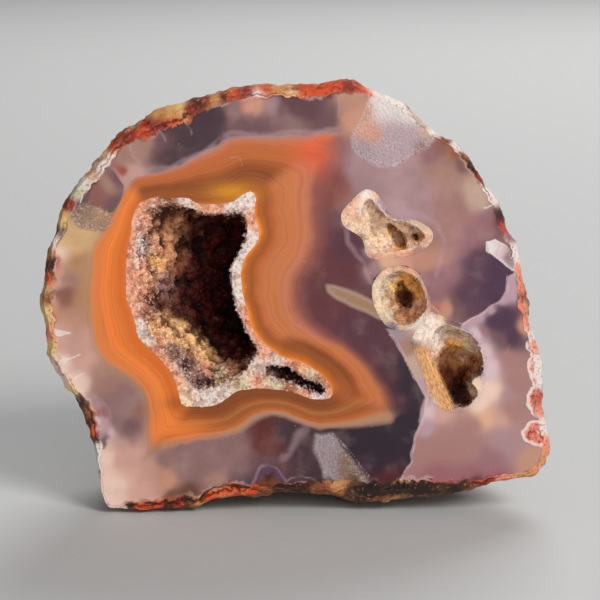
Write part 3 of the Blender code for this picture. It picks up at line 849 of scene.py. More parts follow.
# %% Tints of the spots, and the soft ellipses
PALETTE.update({
    "halo purple": (86, 58, 84), "core brown": (110, 56, 26), "nodule peach": (228, 172, 144),
    "needle": (150, 112, 82), "needle edge": (170, 142, 120),
    "rind orange": (198, 74, 30), "rind red": (136, 38, 22), "rind dark": (60, 25, 20),
    "rind tan": (196, 136, 82), "rind cream": (228, 192, 140), "rind white": (220, 206, 198),
    "rind green": (186, 180, 150), "rind pink": (222, 134, 106), "rind rose": (180, 70, 56),
    "rind brown": (132, 74, 42), "rind black": (34, 20, 18), "rind yellow": (216, 178, 116),
})
SPOT_TINTS = [
    (86, 401, 3, "pale lilac"), (98, 402, 4, "lilac"), (90, 409, 3, "salmon"), (96, 414, 3, "arc rust"),
    (104, 412, 3, "dusk rose"), (95, 424, 4, "frost white"), (102, 424, 4, "pale lilac"),
    (100, 434, 4, "lilac"), (106, 442, 4, "dusk"), (84, 414, 3, "rind brown"), (267, 469, 3, "halo purple"),
    (257, 476, 3, "halo purple"), (279, 477, 3, "halo purple"), (268, 477, 3, "rind dark"),
    (263, 484, 4, "core brown"), (273, 484, 4, "core brown"), (268, 488, 3, "rind black"),
    (298, 484, 4, "halo purple"), (292, 489, 5, "rind dark"), (310, 488, 5, "core brown"),
]
# Painted glow where light shines through the stone, except low_shade, a painted shade, and red_spot, a red
# spot.
GLOWS = {
    "red_glow": (316, 152, 22, 20), "gold_glow": (232, 192, 24, 9), "tail_glow": (345, 392, 16, 12),
    "red_spot": (437, 308, 4, 5), "foot_glow": (176, 430, 34, 12), "low_shade": (180, 403, 16, 7),
    "ember": (430, 486, 26, 5),
}

store(stone, "spot_tint", blend(uneven_points, SPOT_TINTS))
for name, (across, down, wide, tall) in GLOWS.items():
    near = ((photo_points[:, 0] - across) / wide) ** 2 + ((photo_points[:, 1] - down) / tall) ** 2
    store(stone, name, np.exp(-near))
print("ellipses", len(GLOWS))

# %% [markdown]
# ## Rind
#
# Between the polish and the skin runs a thin rind of older, iron-stained layers. Its colour changes round the
# stone, from red-orange on top to tan on the left and pink on the right. The same washes colour it, and rows
# of plain numbers, blended in the same way, say how wide it is and how clearly its layers show. The distance
# to the real cut edge is found with a k-d tree, because a drawn line would miss the lumps of the skin.

# %% Rind colours
RIND_TINTS = [
    (109, 147, 6, "rind orange"), (117, 140, 5, "rind red"), (128, 134, 6, "rind red"),
    (140, 129, 5, "rind orange"), (150, 124, 5, "rind red"), (156, 114, 4, "rind tan"),
    (163, 126, 5, "rind red"), (172, 124, 4, "rind orange"), (168, 109, 6, "rind tan"),
    (180, 105, 5, "rind yellow"), (190, 108, 5, "rind red"), (197, 102, 5, "rind dark"),
    (203, 98, 5, "rind red"), (214, 94, 6, "rind tan"), (224, 96, 4, "rind dark"),
    (228, 89, 6, "rind orange"), (245, 86, 7, "rind red"), (262, 85, 7, "rind orange"),
    (258, 93, 4, "rind white"), (280, 87, 6, "rind tan"), (300, 86, 7, "rind orange"),
    (292, 91, 4, "rind cream"), (318, 89, 7, "rind orange"), (335, 84, 7, "rind orange"),
    (350, 81, 8, "rind red"), (362, 88, 5, "rind orange"), (370, 92, 4, "rind pink"),
    (382, 92, 8, "rind white"), (402, 104, 8, "rind white"), (420, 122, 8, "warm beige"),
    (434, 132, 5, "rind white"), (446, 138, 5, "rind brown"), (458, 146, 5, "rind white"),
    (466, 158, 5, "rind brown"), (474, 166, 6, "rind dark"), (480, 176, 5, "rind red"),
    (488, 190, 5, "rind white"), (496, 198, 6, "rind white"), (503, 214, 6, "rind dark"),
    (509, 226, 5, "rind rose"), (514, 238, 4, "mauve"), (520, 250, 7, "rind white"),
    (524, 270, 5, "rind pink"), (528, 284, 5, "rind pink"), (528, 296, 3, "rind red"),
    (532, 306, 5, "rind pink"), (534, 318, 6, "rind pink"), (538, 334, 5, "rind white"),
    (541, 345, 5, "rind pink"), (543, 362, 6, "rind white"), (545, 380, 5, "rind white"),
    (546, 398, 5, "rind rose"), (547, 410, 5, "rind pink"), (549, 425, 6, "rind white"),
    (552, 445, 6, "rind pink"), (552, 462, 6, "rind tan"), (545, 474, 5, "rind pink"),
    (525, 480, 6, "rind tan"), (505, 482, 6, "rind pink"), (490, 484, 5, "rind red"),
    (478, 496, 4, "rind brown"), (455, 491, 5, "rind black"), (455, 500, 4, "rind tan"),
    (425, 492, 5, "rind black"), (425, 501, 4, "rind brown"), (395, 493, 5, "rind black"),
    (395, 502, 4, "rind tan"), (370, 493, 5, "rind black"), (375, 503, 4, "rind brown"),
    (350, 494, 5, "rind dark"), (340, 489, 4, "rind tan"), (336, 499, 4, "rind red"),
    (318, 494, 5, "rind brown"), (302, 490, 6, "rind dark"), (282, 491, 6, "rind dark"),
    (264, 495, 5, "rind brown"), (252, 494, 5, "rind orange"), (240, 492, 4, "rind orange"),
    (240, 499, 4, "rind tan"), (225, 493, 5, "rind orange"), (226, 500, 4, "rind cream"),
    (212, 499, 5, "rind orange"), (198, 506, 5, "rind tan"), (190, 502, 5, "rind dark"),
    (180, 508, 5, "rind red"), (168, 506, 4, "rind dark"), (156, 510, 6, "rind orange"),
    (142, 509, 6, "rind orange"), (131, 507, 4, "rind dark"), (118, 508, 6, "cream pink"),
    (100, 490, 9, "cream pink"), (96, 462, 7, "rind white"), (97, 449, 4, "rind white"),
    (94, 440, 3, "rind dark"), (90, 433, 4, "rind orange"), (86, 424, 4, "rind dark"),
    (82, 416, 4, "rind brown"), (76, 402, 4, "rind dark"), (68, 393, 4, "rind cream"),
    (60, 380, 5, "cream pink"), (52, 366, 5, "cream pink"), (46, 350, 5, "rind yellow"),
    (43, 332, 5, "rind pink"), (40, 318, 6, "rind yellow"), (36, 300, 5, "rind yellow"),
    (44, 298, 4, "rind brown"), (38, 288, 5, "rind cream"), (43, 278, 4, "rind orange"),
    (46, 264, 5, "rind dark"), (46, 252, 4, "rind tan"), (52, 240, 4, "rind white"),
    (54, 230, 4, "rind dark"), (57, 217, 6, "rind yellow"), (67, 204, 5, "rind red"),
    (74, 190, 5, "rind green"), (80, 180, 5, "rind white"), (87, 170, 4, "rind tan"),
    (96, 160, 5, "rind brown"), (101, 163, 5, "rind white"), (104, 153, 5, "rind cream"),
    (110, 156, 4, "rind white"),
]
RIND_DRIFT = [(2.5, 1.2)]

store(stone, "rind", blend(wandering(uneven_points, RIND_DRIFT), RIND_TINTS))
print("rind tints", len(RIND_TINTS))

# %% How wide the rind is, and how clearly its layers show
from mathutils import kdtree

RIND_WIDTHS = [
    (110, 150, 12, 6), (120, 142, 8, 5), (130, 134, 8, 5), (150, 124, 10, 12), (172, 109, 8, 14),
    (190, 98, 7, 8), (220, 93, 10, 5), (250, 88, 12, 5), (285, 89, 12, 5), (320, 89, 14, 8),
    (348, 84, 8, 8), (366, 92, 8, 4), (400, 104, 20, 2.5), (440, 136, 10, 4), (470, 162, 10, 5),
    (488, 192, 10, 4), (505, 218, 8, 6), (518, 250, 8, 6), (530, 310, 20, 5.5), (545, 380, 20, 7),
    (550, 450, 15, 6), (520, 481, 12, 4), (490, 486, 10, 6), (455, 494, 12, 9), (410, 495, 15, 13),
    (370, 495, 15, 13), (345, 494, 8, 12), (315, 492, 8, 8), (290, 490, 8, 7), (268, 490, 6, 4),
    (250, 493, 8, 9), (225, 495, 10, 11), (205, 500, 8, 9), (182, 504, 10, 12), (150, 509, 12, 9),
    (132, 509, 5, 9), (120, 510, 5, 2), (100, 480, 15, 1.5), (94, 445, 5, 7), (84, 420, 8, 7),
    (70, 396, 6, 4), (55, 370, 10, 4), (43, 335, 8, 4), (40, 305, 10, 8), (42, 275, 6, 6), (48, 250, 8, 4),
    (57, 218, 8, 6), (68, 202, 6, 6), (78, 184, 8, 8), (96, 164, 8, 9),
]
RIND_LAYERS = [
    (130, 136, 20, 1), (180, 108, 20, 1), (240, 90, 20, 0.8), (300, 90, 20, 0.6), (350, 84, 15, 0.5),
    (400, 104, 20, 0), (440, 140, 12, 0.4), (475, 170, 12, 1), (505, 215, 10, 0.3), (520, 250, 12, 0),
    (530, 300, 20, 0.5), (545, 380, 20, 0), (550, 450, 20, 0), (520, 481, 15, 0.3), (480, 488, 12, 1),
    (400, 495, 40, 1), (300, 492, 30, 1), (230, 495, 25, 1), (150, 508, 25, 1), (108, 500, 12, 0),
    (96, 465, 12, 0), (88, 425, 10, 1), (70, 396, 8, 0.6), (50, 360, 12, 0.2), (40, 305, 20, 0.3),
    (45, 260, 12, 0.8), (60, 215, 12, 0.5), (80, 184, 12, 0.3), (98, 160, 8, 0.6),
]
HOLLOW_MARGIN = 3

centres = np.array([face.center for face in stone.data.polygons])
normals = np.array([face.normal for face in stone.data.polygons])
polished = (np.abs(centres[:, 1] - FACE_Y) < TINY) & (normals[:, 1] < -FACING)
on_polish = np.zeros(len(photo_points), bool)
off_polish = np.zeros(len(photo_points), bool)
for face, is_polished in zip(stone.data.polygons, polished):
    (on_polish if is_polished else off_polish)[list(face.vertices)] = True
in_hollow = depth_in_any(photo_points, [outline for outline, _, _ in WALLS.values()]) > -HOLLOW_MARGIN
edge = np.flatnonzero(on_polish & off_polish & ~in_hollow)
places = places_of(stone)
tree = kdtree.KDTree(len(edge))
for number in edge:
    tree.insert(places[number], int(number))
tree.balance()
to_rim = np.array([tree.find(place)[2] for place in places]) / PIXEL
store(stone, "rim", to_rim / blend(photo_points, RIND_WIDTHS))
store(stone, "layers", blend(photo_points, RIND_LAYERS))
print("points on the cut's edge", len(edge))

# %% [markdown]
# ## A maker for materials
#
# All finishes here are built from a few kinds of node: stored numbers, noises, ramps and mixes. A small class
# adds each with one short call, so that a finish reads as a recipe. Wiring every node in full would hide the
# recipe in the plumbing.

# %% A maker for materials


class Finish:
    """A material whose nodes are added one short call at a time."""

    def __init__(self, name):
        self.material = bpy.data.materials.new(name)
        self.material.use_nodes = True
        self.tree = self.material.node_tree
        self.shader = self.tree.nodes["Principled BSDF"]
        self.place = self.add("ShaderNodeTexCoord").outputs["Object"]

    def add(self, kind, inputs=None, **settings):
        """Adds a node, with its settings and what goes into its sockets."""
        made = self.tree.nodes.new(kind)
        for setting, value in settings.items():
            setattr(made, setting, value)
        for socket, value in (inputs or {}).items():
            self.feed(made.inputs[socket], value)
        return made

    def feed(self, socket, value):
        """Gives a socket another node's output, a palette colour or a plain value."""
        if isinstance(value, bpy.types.NodeSocket):
            self.tree.links.new(value, socket)
        elif isinstance(value, str):
            socket.default_value = (*linear(value), 1)
        else:
            socket.default_value = value

    def stored(self, name, output="Fac"):
        """A number stored on the mesh, or a colour with output Color."""
        return self.add("ShaderNodeAttribute", attribute_name=name).outputs[output]

    def noise(self, size, detail=2.0, distortion=0.0, place=None):
        """Cloudy noise from 0 to 1, with clouds of a size in metres, or in the units of its own place."""
        inputs = {"Vector": place or self.place, "Scale": 1 / size, "Detail": detail}
        return self.add("ShaderNodeTexNoise", {**inputs, "Distortion": distortion}).outputs[0]

    def wobble(self, size, detail):
        """Cloudy noise about 0."""
        return self.sum("SUBTRACT", self.noise(size, detail), 0.5)

    def cells(self, size, feature="F1", output="Distance"):
        """Voronoi cells of a size in metres."""
        inputs = {"Vector": self.place, "Scale": 1 / size}
        return self.add("ShaderNodeTexVoronoi", inputs, feature=feature).outputs[output]

    def creases(self):
        """Pointiness: under 0.5 in creases and over it on edges."""
        return self.add("ShaderNodeNewGeometry").outputs["Pointiness"]

    def vector(self, x, y):
        """A vector from two numbers."""
        return self.add("ShaderNodeCombineXYZ", {0: x, 1: y}).outputs[0]

    def sum(self, operation, first, second):
        """A sum of two numbers: ADD, SUBTRACT, MAXIMUM and so on."""
        return self.add("ShaderNodeMath", {0: first, 1: second}, operation=operation).outputs[0]

    def times(self, first, second):
        """Two numbers multiplied."""
        return self.sum("MULTIPLY", first, second)

    def frayed(self, name, wobble, by):
        """A stored number with a wobble added, so that the edge it marks is uneven."""
        return self.sum("ADD", self.stored(name), self.times(wobble, by))

    def rise(self, value, low, high, top=1.0):
        """0 where a number is at low, top where it is at high, and smooth between."""
        inputs = {"Value": value, "From Min": low, "From Max": high, "To Max": top}
        return self.add("ShaderNodeMapRange", inputs, interpolation_type="SMOOTHSTEP").outputs[0]

    def over(self, colour, tint, *shares, blend="MIX"):
        """A colour with a tint laid over it, by one share or by several that are multiplied."""
        share = shares[0]
        for other in shares[1:]:
            share = self.times(share, other)
        made = self.add("ShaderNodeMix", {0: share, 6: colour, 7: tint}, data_type="RGBA", blend_type=blend)
        return made.outputs[2]

    def darkened(self, colour, tint, *shares):
        """A colour with a tint multiplied over it."""
        return self.over(colour, tint, *shares, blend="MULTIPLY")

    def lightened(self, colour, tint, *shares):
        """A colour with a tint screened over it."""
        return self.over(colour, tint, *shares, blend="SCREEN")

    def ramp(self, value, stops):
        """A colour ramp: rows of place and palette name."""
        made = self.add("ShaderNodeValToRGB", {0: value})
        elements = made.color_ramp.elements
        elements.remove(elements[1])
        for number, (place, name) in enumerate(stops):
            element = elements[0] if number == 0 else elements.new(place)
            element.position = place
            element.color = (*linear(name), 1)
        return made.outputs[0]

    def bumps(self, height, depth):
        """A normal raised by a height map, with its depth in metres."""
        return self.add("ShaderNodeBump", {"Height": height, "Distance": depth, "Strength": 1.0}).outputs[0]

    def finish(self, colour, roughness, normal=None, **constants):
        """Feeds the shader and returns the material. A constant's name has _ where its socket has a space."""
        self.feed(self.shader.inputs["Base Color"], colour)
        self.feed(self.shader.inputs["Roughness"], roughness)
        if normal is not None:
            self.feed(self.shader.inputs["Normal"], normal)
        for socket, value in constants.items():
            self.shader.inputs[socket.replace("_", " ")].default_value = value
        return self.material


print("maker with", len([name for name in vars(Finish) if name[0] != "_"]), "kinds of call")

# %% [markdown]
# ## The polished agate
#
# Five ramps give the bands in five directions, because the photograph shows other bands over the hollow than
# under it. The sectors stored on the mesh fade one into the next. A noise that is stretched along the bands
# adds the fine threads between them.

# %% Bands
BANDS = {
    "right": [
        (0.0, "amber"), (0.06, "gold brown"), (0.15, "umber"), (0.24, "brown orange"), (0.36, "peach"),
        (0.5, "peach"), (0.66, "clay"), (0.8, "mauve brown"), (1.0, "maroon"),
    ],
    "tail": [
        (0.0, "amber"), (0.08, "gold brown"), (0.2, "umber"), (0.42, "dark brown"), (0.54, "brown orange"),
        (0.66, "peach"), (0.78, "peach"), (0.9, "mauve brown"), (1.0, "maroon"),
    ],
    "top": [
        (0.0, "umber"), (0.1, "umber"), (0.36, "dark brown"), (0.5, "umber"), (0.66, "brown orange"),
        (0.84, "brown orange"), (0.95, "clay"), (1.0, "pale edge"),
    ],
    "under": [
        (0.0, "dark brown"), (0.28, "dark brown"), (0.4, "umber"), (0.52, "olive brown"),
        (0.64, "umber"), (0.78, "brown orange"), (0.88, "olive tan"), (1.0, "beige brown"),
    ],
    "left": [
        (0.0, "burnt orange"), (0.15, "amber shade"), (0.34, "burnt orange"), (0.52, "bright orange"),
        (0.7, "soft orange"), (0.86, "soft orange"), (0.95, "olive tan"), (1.0, "olive tan"),
    ],
}
GLOW_COLOURS = (
    ("red_glow", "red orange", 0.8), ("gold_glow", "gold", 0.9), ("tail_glow", "brown orange", 0.3),
    ("foot_glow", "bright orange", 0.8), ("low_shade", "umber", 0.7),
)
agate = Finish("polished_agate")
waver = agate.wobble(2.2 * MM, 3)
band = agate.frayed("band", waver, 0.12)
bands = agate.ramp(band, BANDS["right"])
for name in SECTORS:
    bands = agate.over(bands, agate.ramp(band, BANDS[name]), agate.stored(name))
# Painted glow where light shines through the stone, and one painted shade.
for name, glow, most in GLOW_COLOURS:
    bands = agate.over(bands, glow, agate.stored(name), most)
along = agate.times(agate.noise(9 * MM, 1), 0.1)
threads = agate.noise(0.05, 3, place=agate.vector(band, along))
bands = agate.darkened(bands, "straw", agate.rise(threads, 0.5, 0.3, 0.25))
bands = agate.lightened(bands, "peach orange", agate.rise(threads, 0.5, 0.7, 0.07))
print("bands", len(BANDS))

# %% [markdown]
# Outside the bands lie the soft tints. The blocks, the needle, the spots, the frosted patches, the seams and
# veils, the nodules and the rind are laid over them one after the other, each with an edge that noise frays.
# One material carries them all, because the real polish is one surface. A little light is scattered under the
# surface, because chalcedony glows.

# %% The soft ground, the blocks and the needle
crisp = agate.times(agate.stored("left"), 0.5)
for name in ("top", "under"):
    crisp = agate.sum("MAXIMUM", crisp, agate.stored(name))
softness = agate.rise(crisp, 1.0, 0.0, 0.18)
outer = agate.sum("ADD", 1.06, softness)
inner = agate.sum("SUBTRACT", 0.96, agate.times(softness, 1.6))
cloud = agate.noise(3.5 * MM, 3)
ground = agate.darkened(agate.stored("tint", "Color"), "dusk", agate.rise(cloud, 0.4, 0.7, 0.16))
ground = agate.over(ground, "cream pink", agate.rise(cloud, 0.5, 0.3, 0.07))
colour = agate.over(ground, bands, agate.rise(band, outer, inner))
block_edge = agate.frayed("block_edge", waver, 2.0)
colour = agate.over(colour, agate.stored("block", "Color"), agate.rise(block_edge, -BLOCK_BLUR, BLOCK_BLUR))
colour = agate.over(colour, "rose red", agate.stored("red_spot"), 0.75)
needle = agate.frayed("needle", waver, 2.5)
colour = agate.over(colour, "needle edge", agate.rise(needle, -1.5, 2.5, 0.8))
colour = agate.over(colour, "needle", agate.rise(needle, 2.5, 6.0, 0.85))
print("ground", len(agate.tree.nodes), "nodes")

# %% Spots and frosted patches
mottle = agate.wobble(0.9 * MM, 4)
spot = agate.frayed("spot", mottle, 6.0)
colour = agate.over(colour, agate.stored("spot_tint", "Color"), agate.rise(spot, -2.0, 2.5, 0.9))

frost_depth = agate.frayed("frost", waver, 5.0)
frosted = agate.rise(frost_depth, -2.0, 3.5)
granular = agate.sum("ADD", 0.25, agate.rise(frost_depth, 11.0, 1.0, 0.45))
speckle = agate.rise(agate.noise(0.24 * MM, 5, 1.0), 0.48, 0.66, 0.75)
frost = agate.over(agate.stored("frost_tint", "Color"), "frost white", granular, speckle)
frost = agate.over(frost, "smoke", granular, agate.rise(agate.noise(0.4 * MM, 4), 0.48, 0.3))
colour = agate.over(colour, frost, frosted, 0.85)
print("frost", len(agate.tree.nodes), "nodes")

# %% Seams, veils and white lines
seam = agate.frayed("seam", waver, 2.4)
colour = agate.over(colour, "pale pink", agate.rise(seam, 1.4, 0.1, 0.6))
patchy = agate.rise(agate.noise(2.0 * MM, 2), 0.25, 0.5)
colour = agate.over(colour, "pale lilac", agate.rise(agate.stored("veil"), 1.6, 0.0, 0.4), patchy)
white = agate.frayed("white", mottle, 0.9)
colour = agate.over(colour, "frost white", agate.rise(white, 1.3, 0.3, 0.8))
print("lines", len(agate.tree.nodes), "nodes")

# %% Nodules, with an orange and a pale kind
nodule = agate.frayed("nodule", mottle, 4.5)
orange = agate.stored("orange")
blotches = agate.noise(0.6 * MM, 4, 0.8)
flesh = agate.ramp(blotches, [
    (0.36, "rind red"), (0.43, "rind rose"), (0.5, "rind pink"), (0.57, "rind rose"),
    (0.66, "nodule peach"),
])
pale = agate.over("nodule peach", "rind white", agate.rise(blotches, 0.45, 0.6))
flesh = agate.over(agate.over(pale, "rind pink", orange), flesh, agate.rise(nodule, 2.0, 5.0))
shell = agate.over("rind white", "rind orange", orange)
colour = agate.over(colour, shell, agate.rise(nodule, -0.8, 0.4, 0.9))
colour = agate.over(colour, flesh, agate.rise(nodule, 1.0, 2.6, 0.95))
print("nodules", len(agate.tree.nodes), "nodes")

# %% Rind and dark lines
rim = agate.frayed("rim", agate.wobble(1.0 * MM, 4), 1.7)
broken = agate.noise(3 * MM, 2)
colour = agate.over(colour, "rind white", agate.rise(rim, 1.4, 1.0, 0.3), agate.rise(broken, 0.5, 0.62))
colour = agate.over(colour, "rind dark", agate.rise(rim, 1.35, 0.95, 0.75), agate.rise(broken, 0.52, 0.4))
# A painted orange glow near the foot, where light shines through the stone.
colour = agate.over(colour, "rind orange", agate.stored("ember"), 0.7)
strata = agate.noise(0.3, 3, place=agate.vector(agate.times(rim, 0.7), agate.noise(7 * MM, 1)))
grainy = agate.noise(0.35 * MM, 4)
layers = agate.stored("layers")
layered = agate.stored("rind", "Color")
layered = agate.darkened(layered, "rind brown", agate.rise(strata, 0.48, 0.36, 0.9), layers)
layered = agate.lightened(layered, "rind tan", agate.rise(strata, 0.56, 0.68, 0.55), layers)
layered = agate.darkened(layered, "rind brown", agate.rise(grainy, 0.48, 0.34, 0.6))
layered = agate.lightened(layered, "rind tan", agate.rise(grainy, 0.58, 0.72, 0.5))
colour = agate.over(colour, layered, agate.rise(rim, 1.02, 0.86))
dark = agate.frayed("dark", waver, 2.4)
colour = agate.over(colour, "rind black", agate.rise(dark, 1.2, 0.5, 0.9))
print("rind", len(agate.tree.nodes), "nodes")

# %% Specks, gloss and glow
QUARTZ_IOR = 1.54
AGATE_SCATTER = (0.0015, 0.0007, 0.0005)

colour = agate.over(colour, "cream pink", agate.rise(agate.cells(1.8 * MM), 0.035, 0.015, 0.6))
polished_agate = agate.finish(
    colour,
    agate.rise(frosted, 0.0, 1.0, 0.35),
    agate.bumps(agate.times(frosted, agate.cells(0.3 * MM)), 0.04 * MM),
    IOR=QUARTZ_IOR, Specular_IOR_Level=0.35,
    Subsurface_Weight=0.15, Subsurface_Radius=AGATE_SCATTER, Subsurface_Scale=1.0,
)
print("polished agate", len(agate.tree.nodes), "nodes")

# %% [markdown]
# ## The skin
#
# Behind the cut the skin is dull and earthy, in tans and rusts with paler, greenish patches. Pointiness
# darkens its creases with painted shade and lightens its edges with a painted highlight. Close to the cut it
# takes the rind's colours, which the photograph shows, and they fade in a broken line. The unseen back could
# be painted by hand, but noise covers it evenly.

# %% Rough skin
PALETTE.update({
    "skin tan": (178, 138, 100), "skin brown": (132, 90, 62), "skin rust": (138, 68, 42),
    "skin grey": (156, 140, 114), "crease": (48, 26, 18),
})
SKIN_ROUGHNESS = 0.7

skin = Finish("rough_skin")
depth = skin.add("ShaderNodeSeparateXYZ", {0: skin.place}).outputs["Y"]
patches = skin.ramp(skin.noise(6 * MM, 5, 0.6), [
    (0.3, "skin rust"), (0.42, "skin tan"), (0.52, "skin brown"), (0.62, "skin grey"), (0.72, "skin tan"),
])
wavy_depth = skin.sum("ADD", depth, skin.times(skin.noise(1.8 * MM, 5, 0.8), 6 * MM))
near_cut = skin.rise(wavy_depth, FACE_Y + 5.6 * MM, FACE_Y + 3.4 * MM)
colour = skin.over(patches, skin.stored("rind", "Color"), near_cut)
colour = skin.lightened(colour, "skin tan", skin.rise(skin.noise(0.55 * MM, 4), 0.52, 0.7, 0.45))
weathered = skin.sum("ADD", skin.rise(near_cut, 1.0, 0.0, 0.75), 0.25)
colour = skin.darkened(colour, "skin rust", skin.rise(skin.noise(1.3 * MM, 4), 0.54, 0.4, 0.6), weathered)
crevice = skin.creases()
# Painted shade in the creases.
colour = skin.over(colour, "crease", skin.rise(crevice, 0.5, 0.44, 0.85))
# A painted highlight on the edges.
colour = skin.over(colour, "rind cream", skin.rise(crevice, 0.52, 0.58, 0.3))
grit = skin.bumps(skin.noise(0.18 * MM, 4), 0.08 * MM)
rough_skin = skin.finish(colour, SKIN_ROUGHNESS, grit, Specular_IOR_Level=0.35)

stone.data.materials.clear()
stone.data.materials.append(polished_agate)
stone.data.materials.append(rough_skin)
stone.data.polygons.foreach_set("material_index", np.where(polished, 0, 1))
stone.data.polygons.foreach_set("use_smooth", ~polished)
stone.data.update()
print("polished faces", int(polished.sum()), "of", len(polished))

# %% [markdown]
# ## Crystal crusts
#
# Each hollow is lined by a crust that follows its wall outside and has its own uneven mouth inside. A crust
# is made as the hollow's solid, slightly larger than the hole so that no gap shows, less the open space. The
# Remesh modifier nets it evenly, Displace modifiers raise lumps and grains on the inner side alone, and the
# rim is pressed flat to the polish. Sculpting could give the same lumps, but no script could repeat it.

# %% Crusts
from mathutils.bvhtree import BVHTree

CRUST_NET = 0.00022
OVERLAP = 0.00012
CRUST_FRONT = -0.2
PROUD = 0.00002
INNER_REACH = 0.00045
LUMPS_FROM = 0.0003
LUMPS_FULL = 0.0022


def jagged(loops, by, seed):
    """Sections with each point pushed in or out by up to some pixels, as broken crystals leave an edge."""
    rng = np.random.default_rng(seed)
    return [(depth, grown(loop, rng.uniform(-by, by, len(loop))[:, None])) for depth, loop in loops]


def crust(name, wall, spaces, lumps, grains, extra=()):
    """A crust between a hollow's wall and its open spaces, with relief on the inner side."""
    outline, middle, levels = WALLS[wall]
    front = [(CRUST_FRONT, 1.0, 0, 0), *levels]
    solid = stack(name, tapered(outline, middle, front, WALL_POINTS), grow=OVERLAP)
    others = [("DIFFERENCE", stack(f"{name}_space_{number}", loops)) for number, loops in enumerate(spaces)]
    others += [("UNION", other) for other in extra]
    trees = []
    for operation, other in others:
        work(solid, "BOOLEAN", operation=operation, object=other, solver="MANIFOLD")
        trees.append(BVHTree.FromObject(other, bpy.context.evaluated_depsgraph_get()))
        bpy.data.objects.remove(other)
    work(solid, "REMESH", mode="VOXEL", voxel_size=CRUST_NET)
    inner = solid.vertex_groups.new(name="inner")
    deep = solid.vertex_groups.new(name="deep")
    for number, place in enumerate(places_of(solid)):
        if min(tree.find_nearest(place)[3] for tree in trees) < INNER_REACH:
            inner.add([number], 1.0, "REPLACE")
            deep.add([number], float(smooth_step(place[1] - FACE_Y, LUMPS_FROM, LUMPS_FULL)), "REPLACE")
    before = places_of(solid)
    normals = np.array([vert.normal for vert in solid.data.vertices])
    roughened(solid, lumps, "deep")
    raised = ((places_of(solid) - before) * normals).sum(axis=1)
    store(solid, "raised", raised / abs(sum(row[3] for row in lumps)))
    roughened(solid, grains, "inner")
    places = places_of(solid)
    places[:, 1] = np.maximum(places[:, 1], FACE_Y - PROUD)
    move_to(solid, places)
    return solid


print("crust net", round(CRUST_NET * 1000, 2), "mm")

# %% The crust of the main hollow
VUG_DEPTHS = (IN_FRONT, 0.0, 1.7, 4.0, 7.5, 10.8, 12.6)
VUG_MOUTHS = [
    [(140, 214), (150, 206), (165, 203), (182, 204), (194, 209), (207, 214), (222, 213), (238, 211),
     (246, 217), (247, 232), (240, 252), (232, 266), (232, 285), (236, 303), (242, 320), (251, 338),
     (258, 350), (252, 363), (243, 375), (226, 384), (208, 390), (196, 391), (185, 380), (175, 363),
     (161, 350), (150, 336), (144, 322), (138, 305), (134, 285), (134, 258), (138, 232)],
    [(148, 219), (165, 210), (190, 210), (205, 216), (225, 215), (243, 219), (248, 231), (241, 252),
     (234, 268), (235, 292), (243, 320), (252, 340), (256, 350), (250, 362), (240, 374), (222, 381),
     (203, 385), (191, 378), (178, 361), (164, 347), (156, 330), (152, 310), (153, 285), (150, 258),
     (146, 235)],
    [(162, 227), (178, 216), (205, 219), (230, 218), (248, 223), (251, 236), (245, 255), (238, 270),
     (240, 295), (247, 320), (255, 340), (256, 352), (249, 363), (239, 372), (221, 374), (203, 371),
     (200, 354), (189, 339), (174, 331), (162, 320), (158, 300), (163, 275), (160, 250)],
    [(185, 232), (205, 225), (230, 223), (249, 229), (252, 241), (248, 258), (243, 275), (246, 300),
     (253, 322), (256, 342), (249, 358), (238, 366), (220, 366), (208, 358), (204, 342), (195, 330),
     (184, 320), (176, 306), (179, 280), (181, 255)],
    [(205, 250), (225, 240), (243, 243), (247, 262), (243, 285), (247, 310), (250, 335), (242, 352),
     (226, 352), (213, 335), (203, 312), (200, 285)],
    [(219, 277), (229, 272), (235, 286), (236, 303), (232, 315), (224, 309), (218, 295)],
]
POCKET_MOUTH = [
    (264, 368), (271, 365), (281, 366), (291, 368), (299, 373), (306, 378), (313, 381), (320, 384),
    (326, 389), (327, 393), (324, 395), (317, 393), (309, 391), (301, 388), (293, 384), (284, 381),
    (274, 379), (266, 375),
]
POCKET_MIDDLE = np.array((278, 373))
POCKET_LEVELS = [*OPEN_FRONT, (2.2, 1.0, 1, 0), (4.6, 0.75, 2, 0), (6.2, 0.3, 4, 0)]
SPACE_POINTS = 240
VUG_JAG, VUG_SEED = 1.3, 5
POCKET_JAG, POCKET_SEED = 0.8, 6
DRUSE_LUMPS = [
    ("druse_lumps", "VORONOI", 0.0026, -0.0016, 0.45),
    ("druse_knobs", "VORONOI", 0.0012, -0.0008, 0.45),
]
DRUSE_GRAINS = [
    ("druse_grains", "VORONOI", 0.0006, -0.00030, 0.45),
    ("druse_grit", "CLOUDS", 0.00030, 0.00012, 0.5),
]

vug_space = [
    (depth, rounded(mouth, SPACE_POINTS)) for depth, mouth in zip(VUG_DEPTHS, [VUG_MOUTHS[0], *VUG_MOUTHS])
]
vug_space = jagged(vug_space, VUG_JAG, VUG_SEED)
pocket_space = tapered(POCKET_MOUTH, POCKET_MIDDLE, POCKET_LEVELS, SPACE_POINTS // 2)
pocket_space = jagged(pocket_space, POCKET_JAG, POCKET_SEED)
druse = crust("druse_crust", "vug", [vug_space, pocket_space], DRUSE_LUMPS, DRUSE_GRAINS)
print("druse", triangles(druse), "triangles")

# %% [markdown]
# The three smaller hollows are casts of crystals that vanished. Each is a shallow, sloping basin with one or
# two deeper holes in it, so its crust is cut by a stack for the basin and one for each hole. The fibrous rod
# across the lower one is a cylinder just behind the polish, joined by a Boolean and melted in by Remesh. A
# bevelled curve would do for the rod too, but a cylinder is already closed.

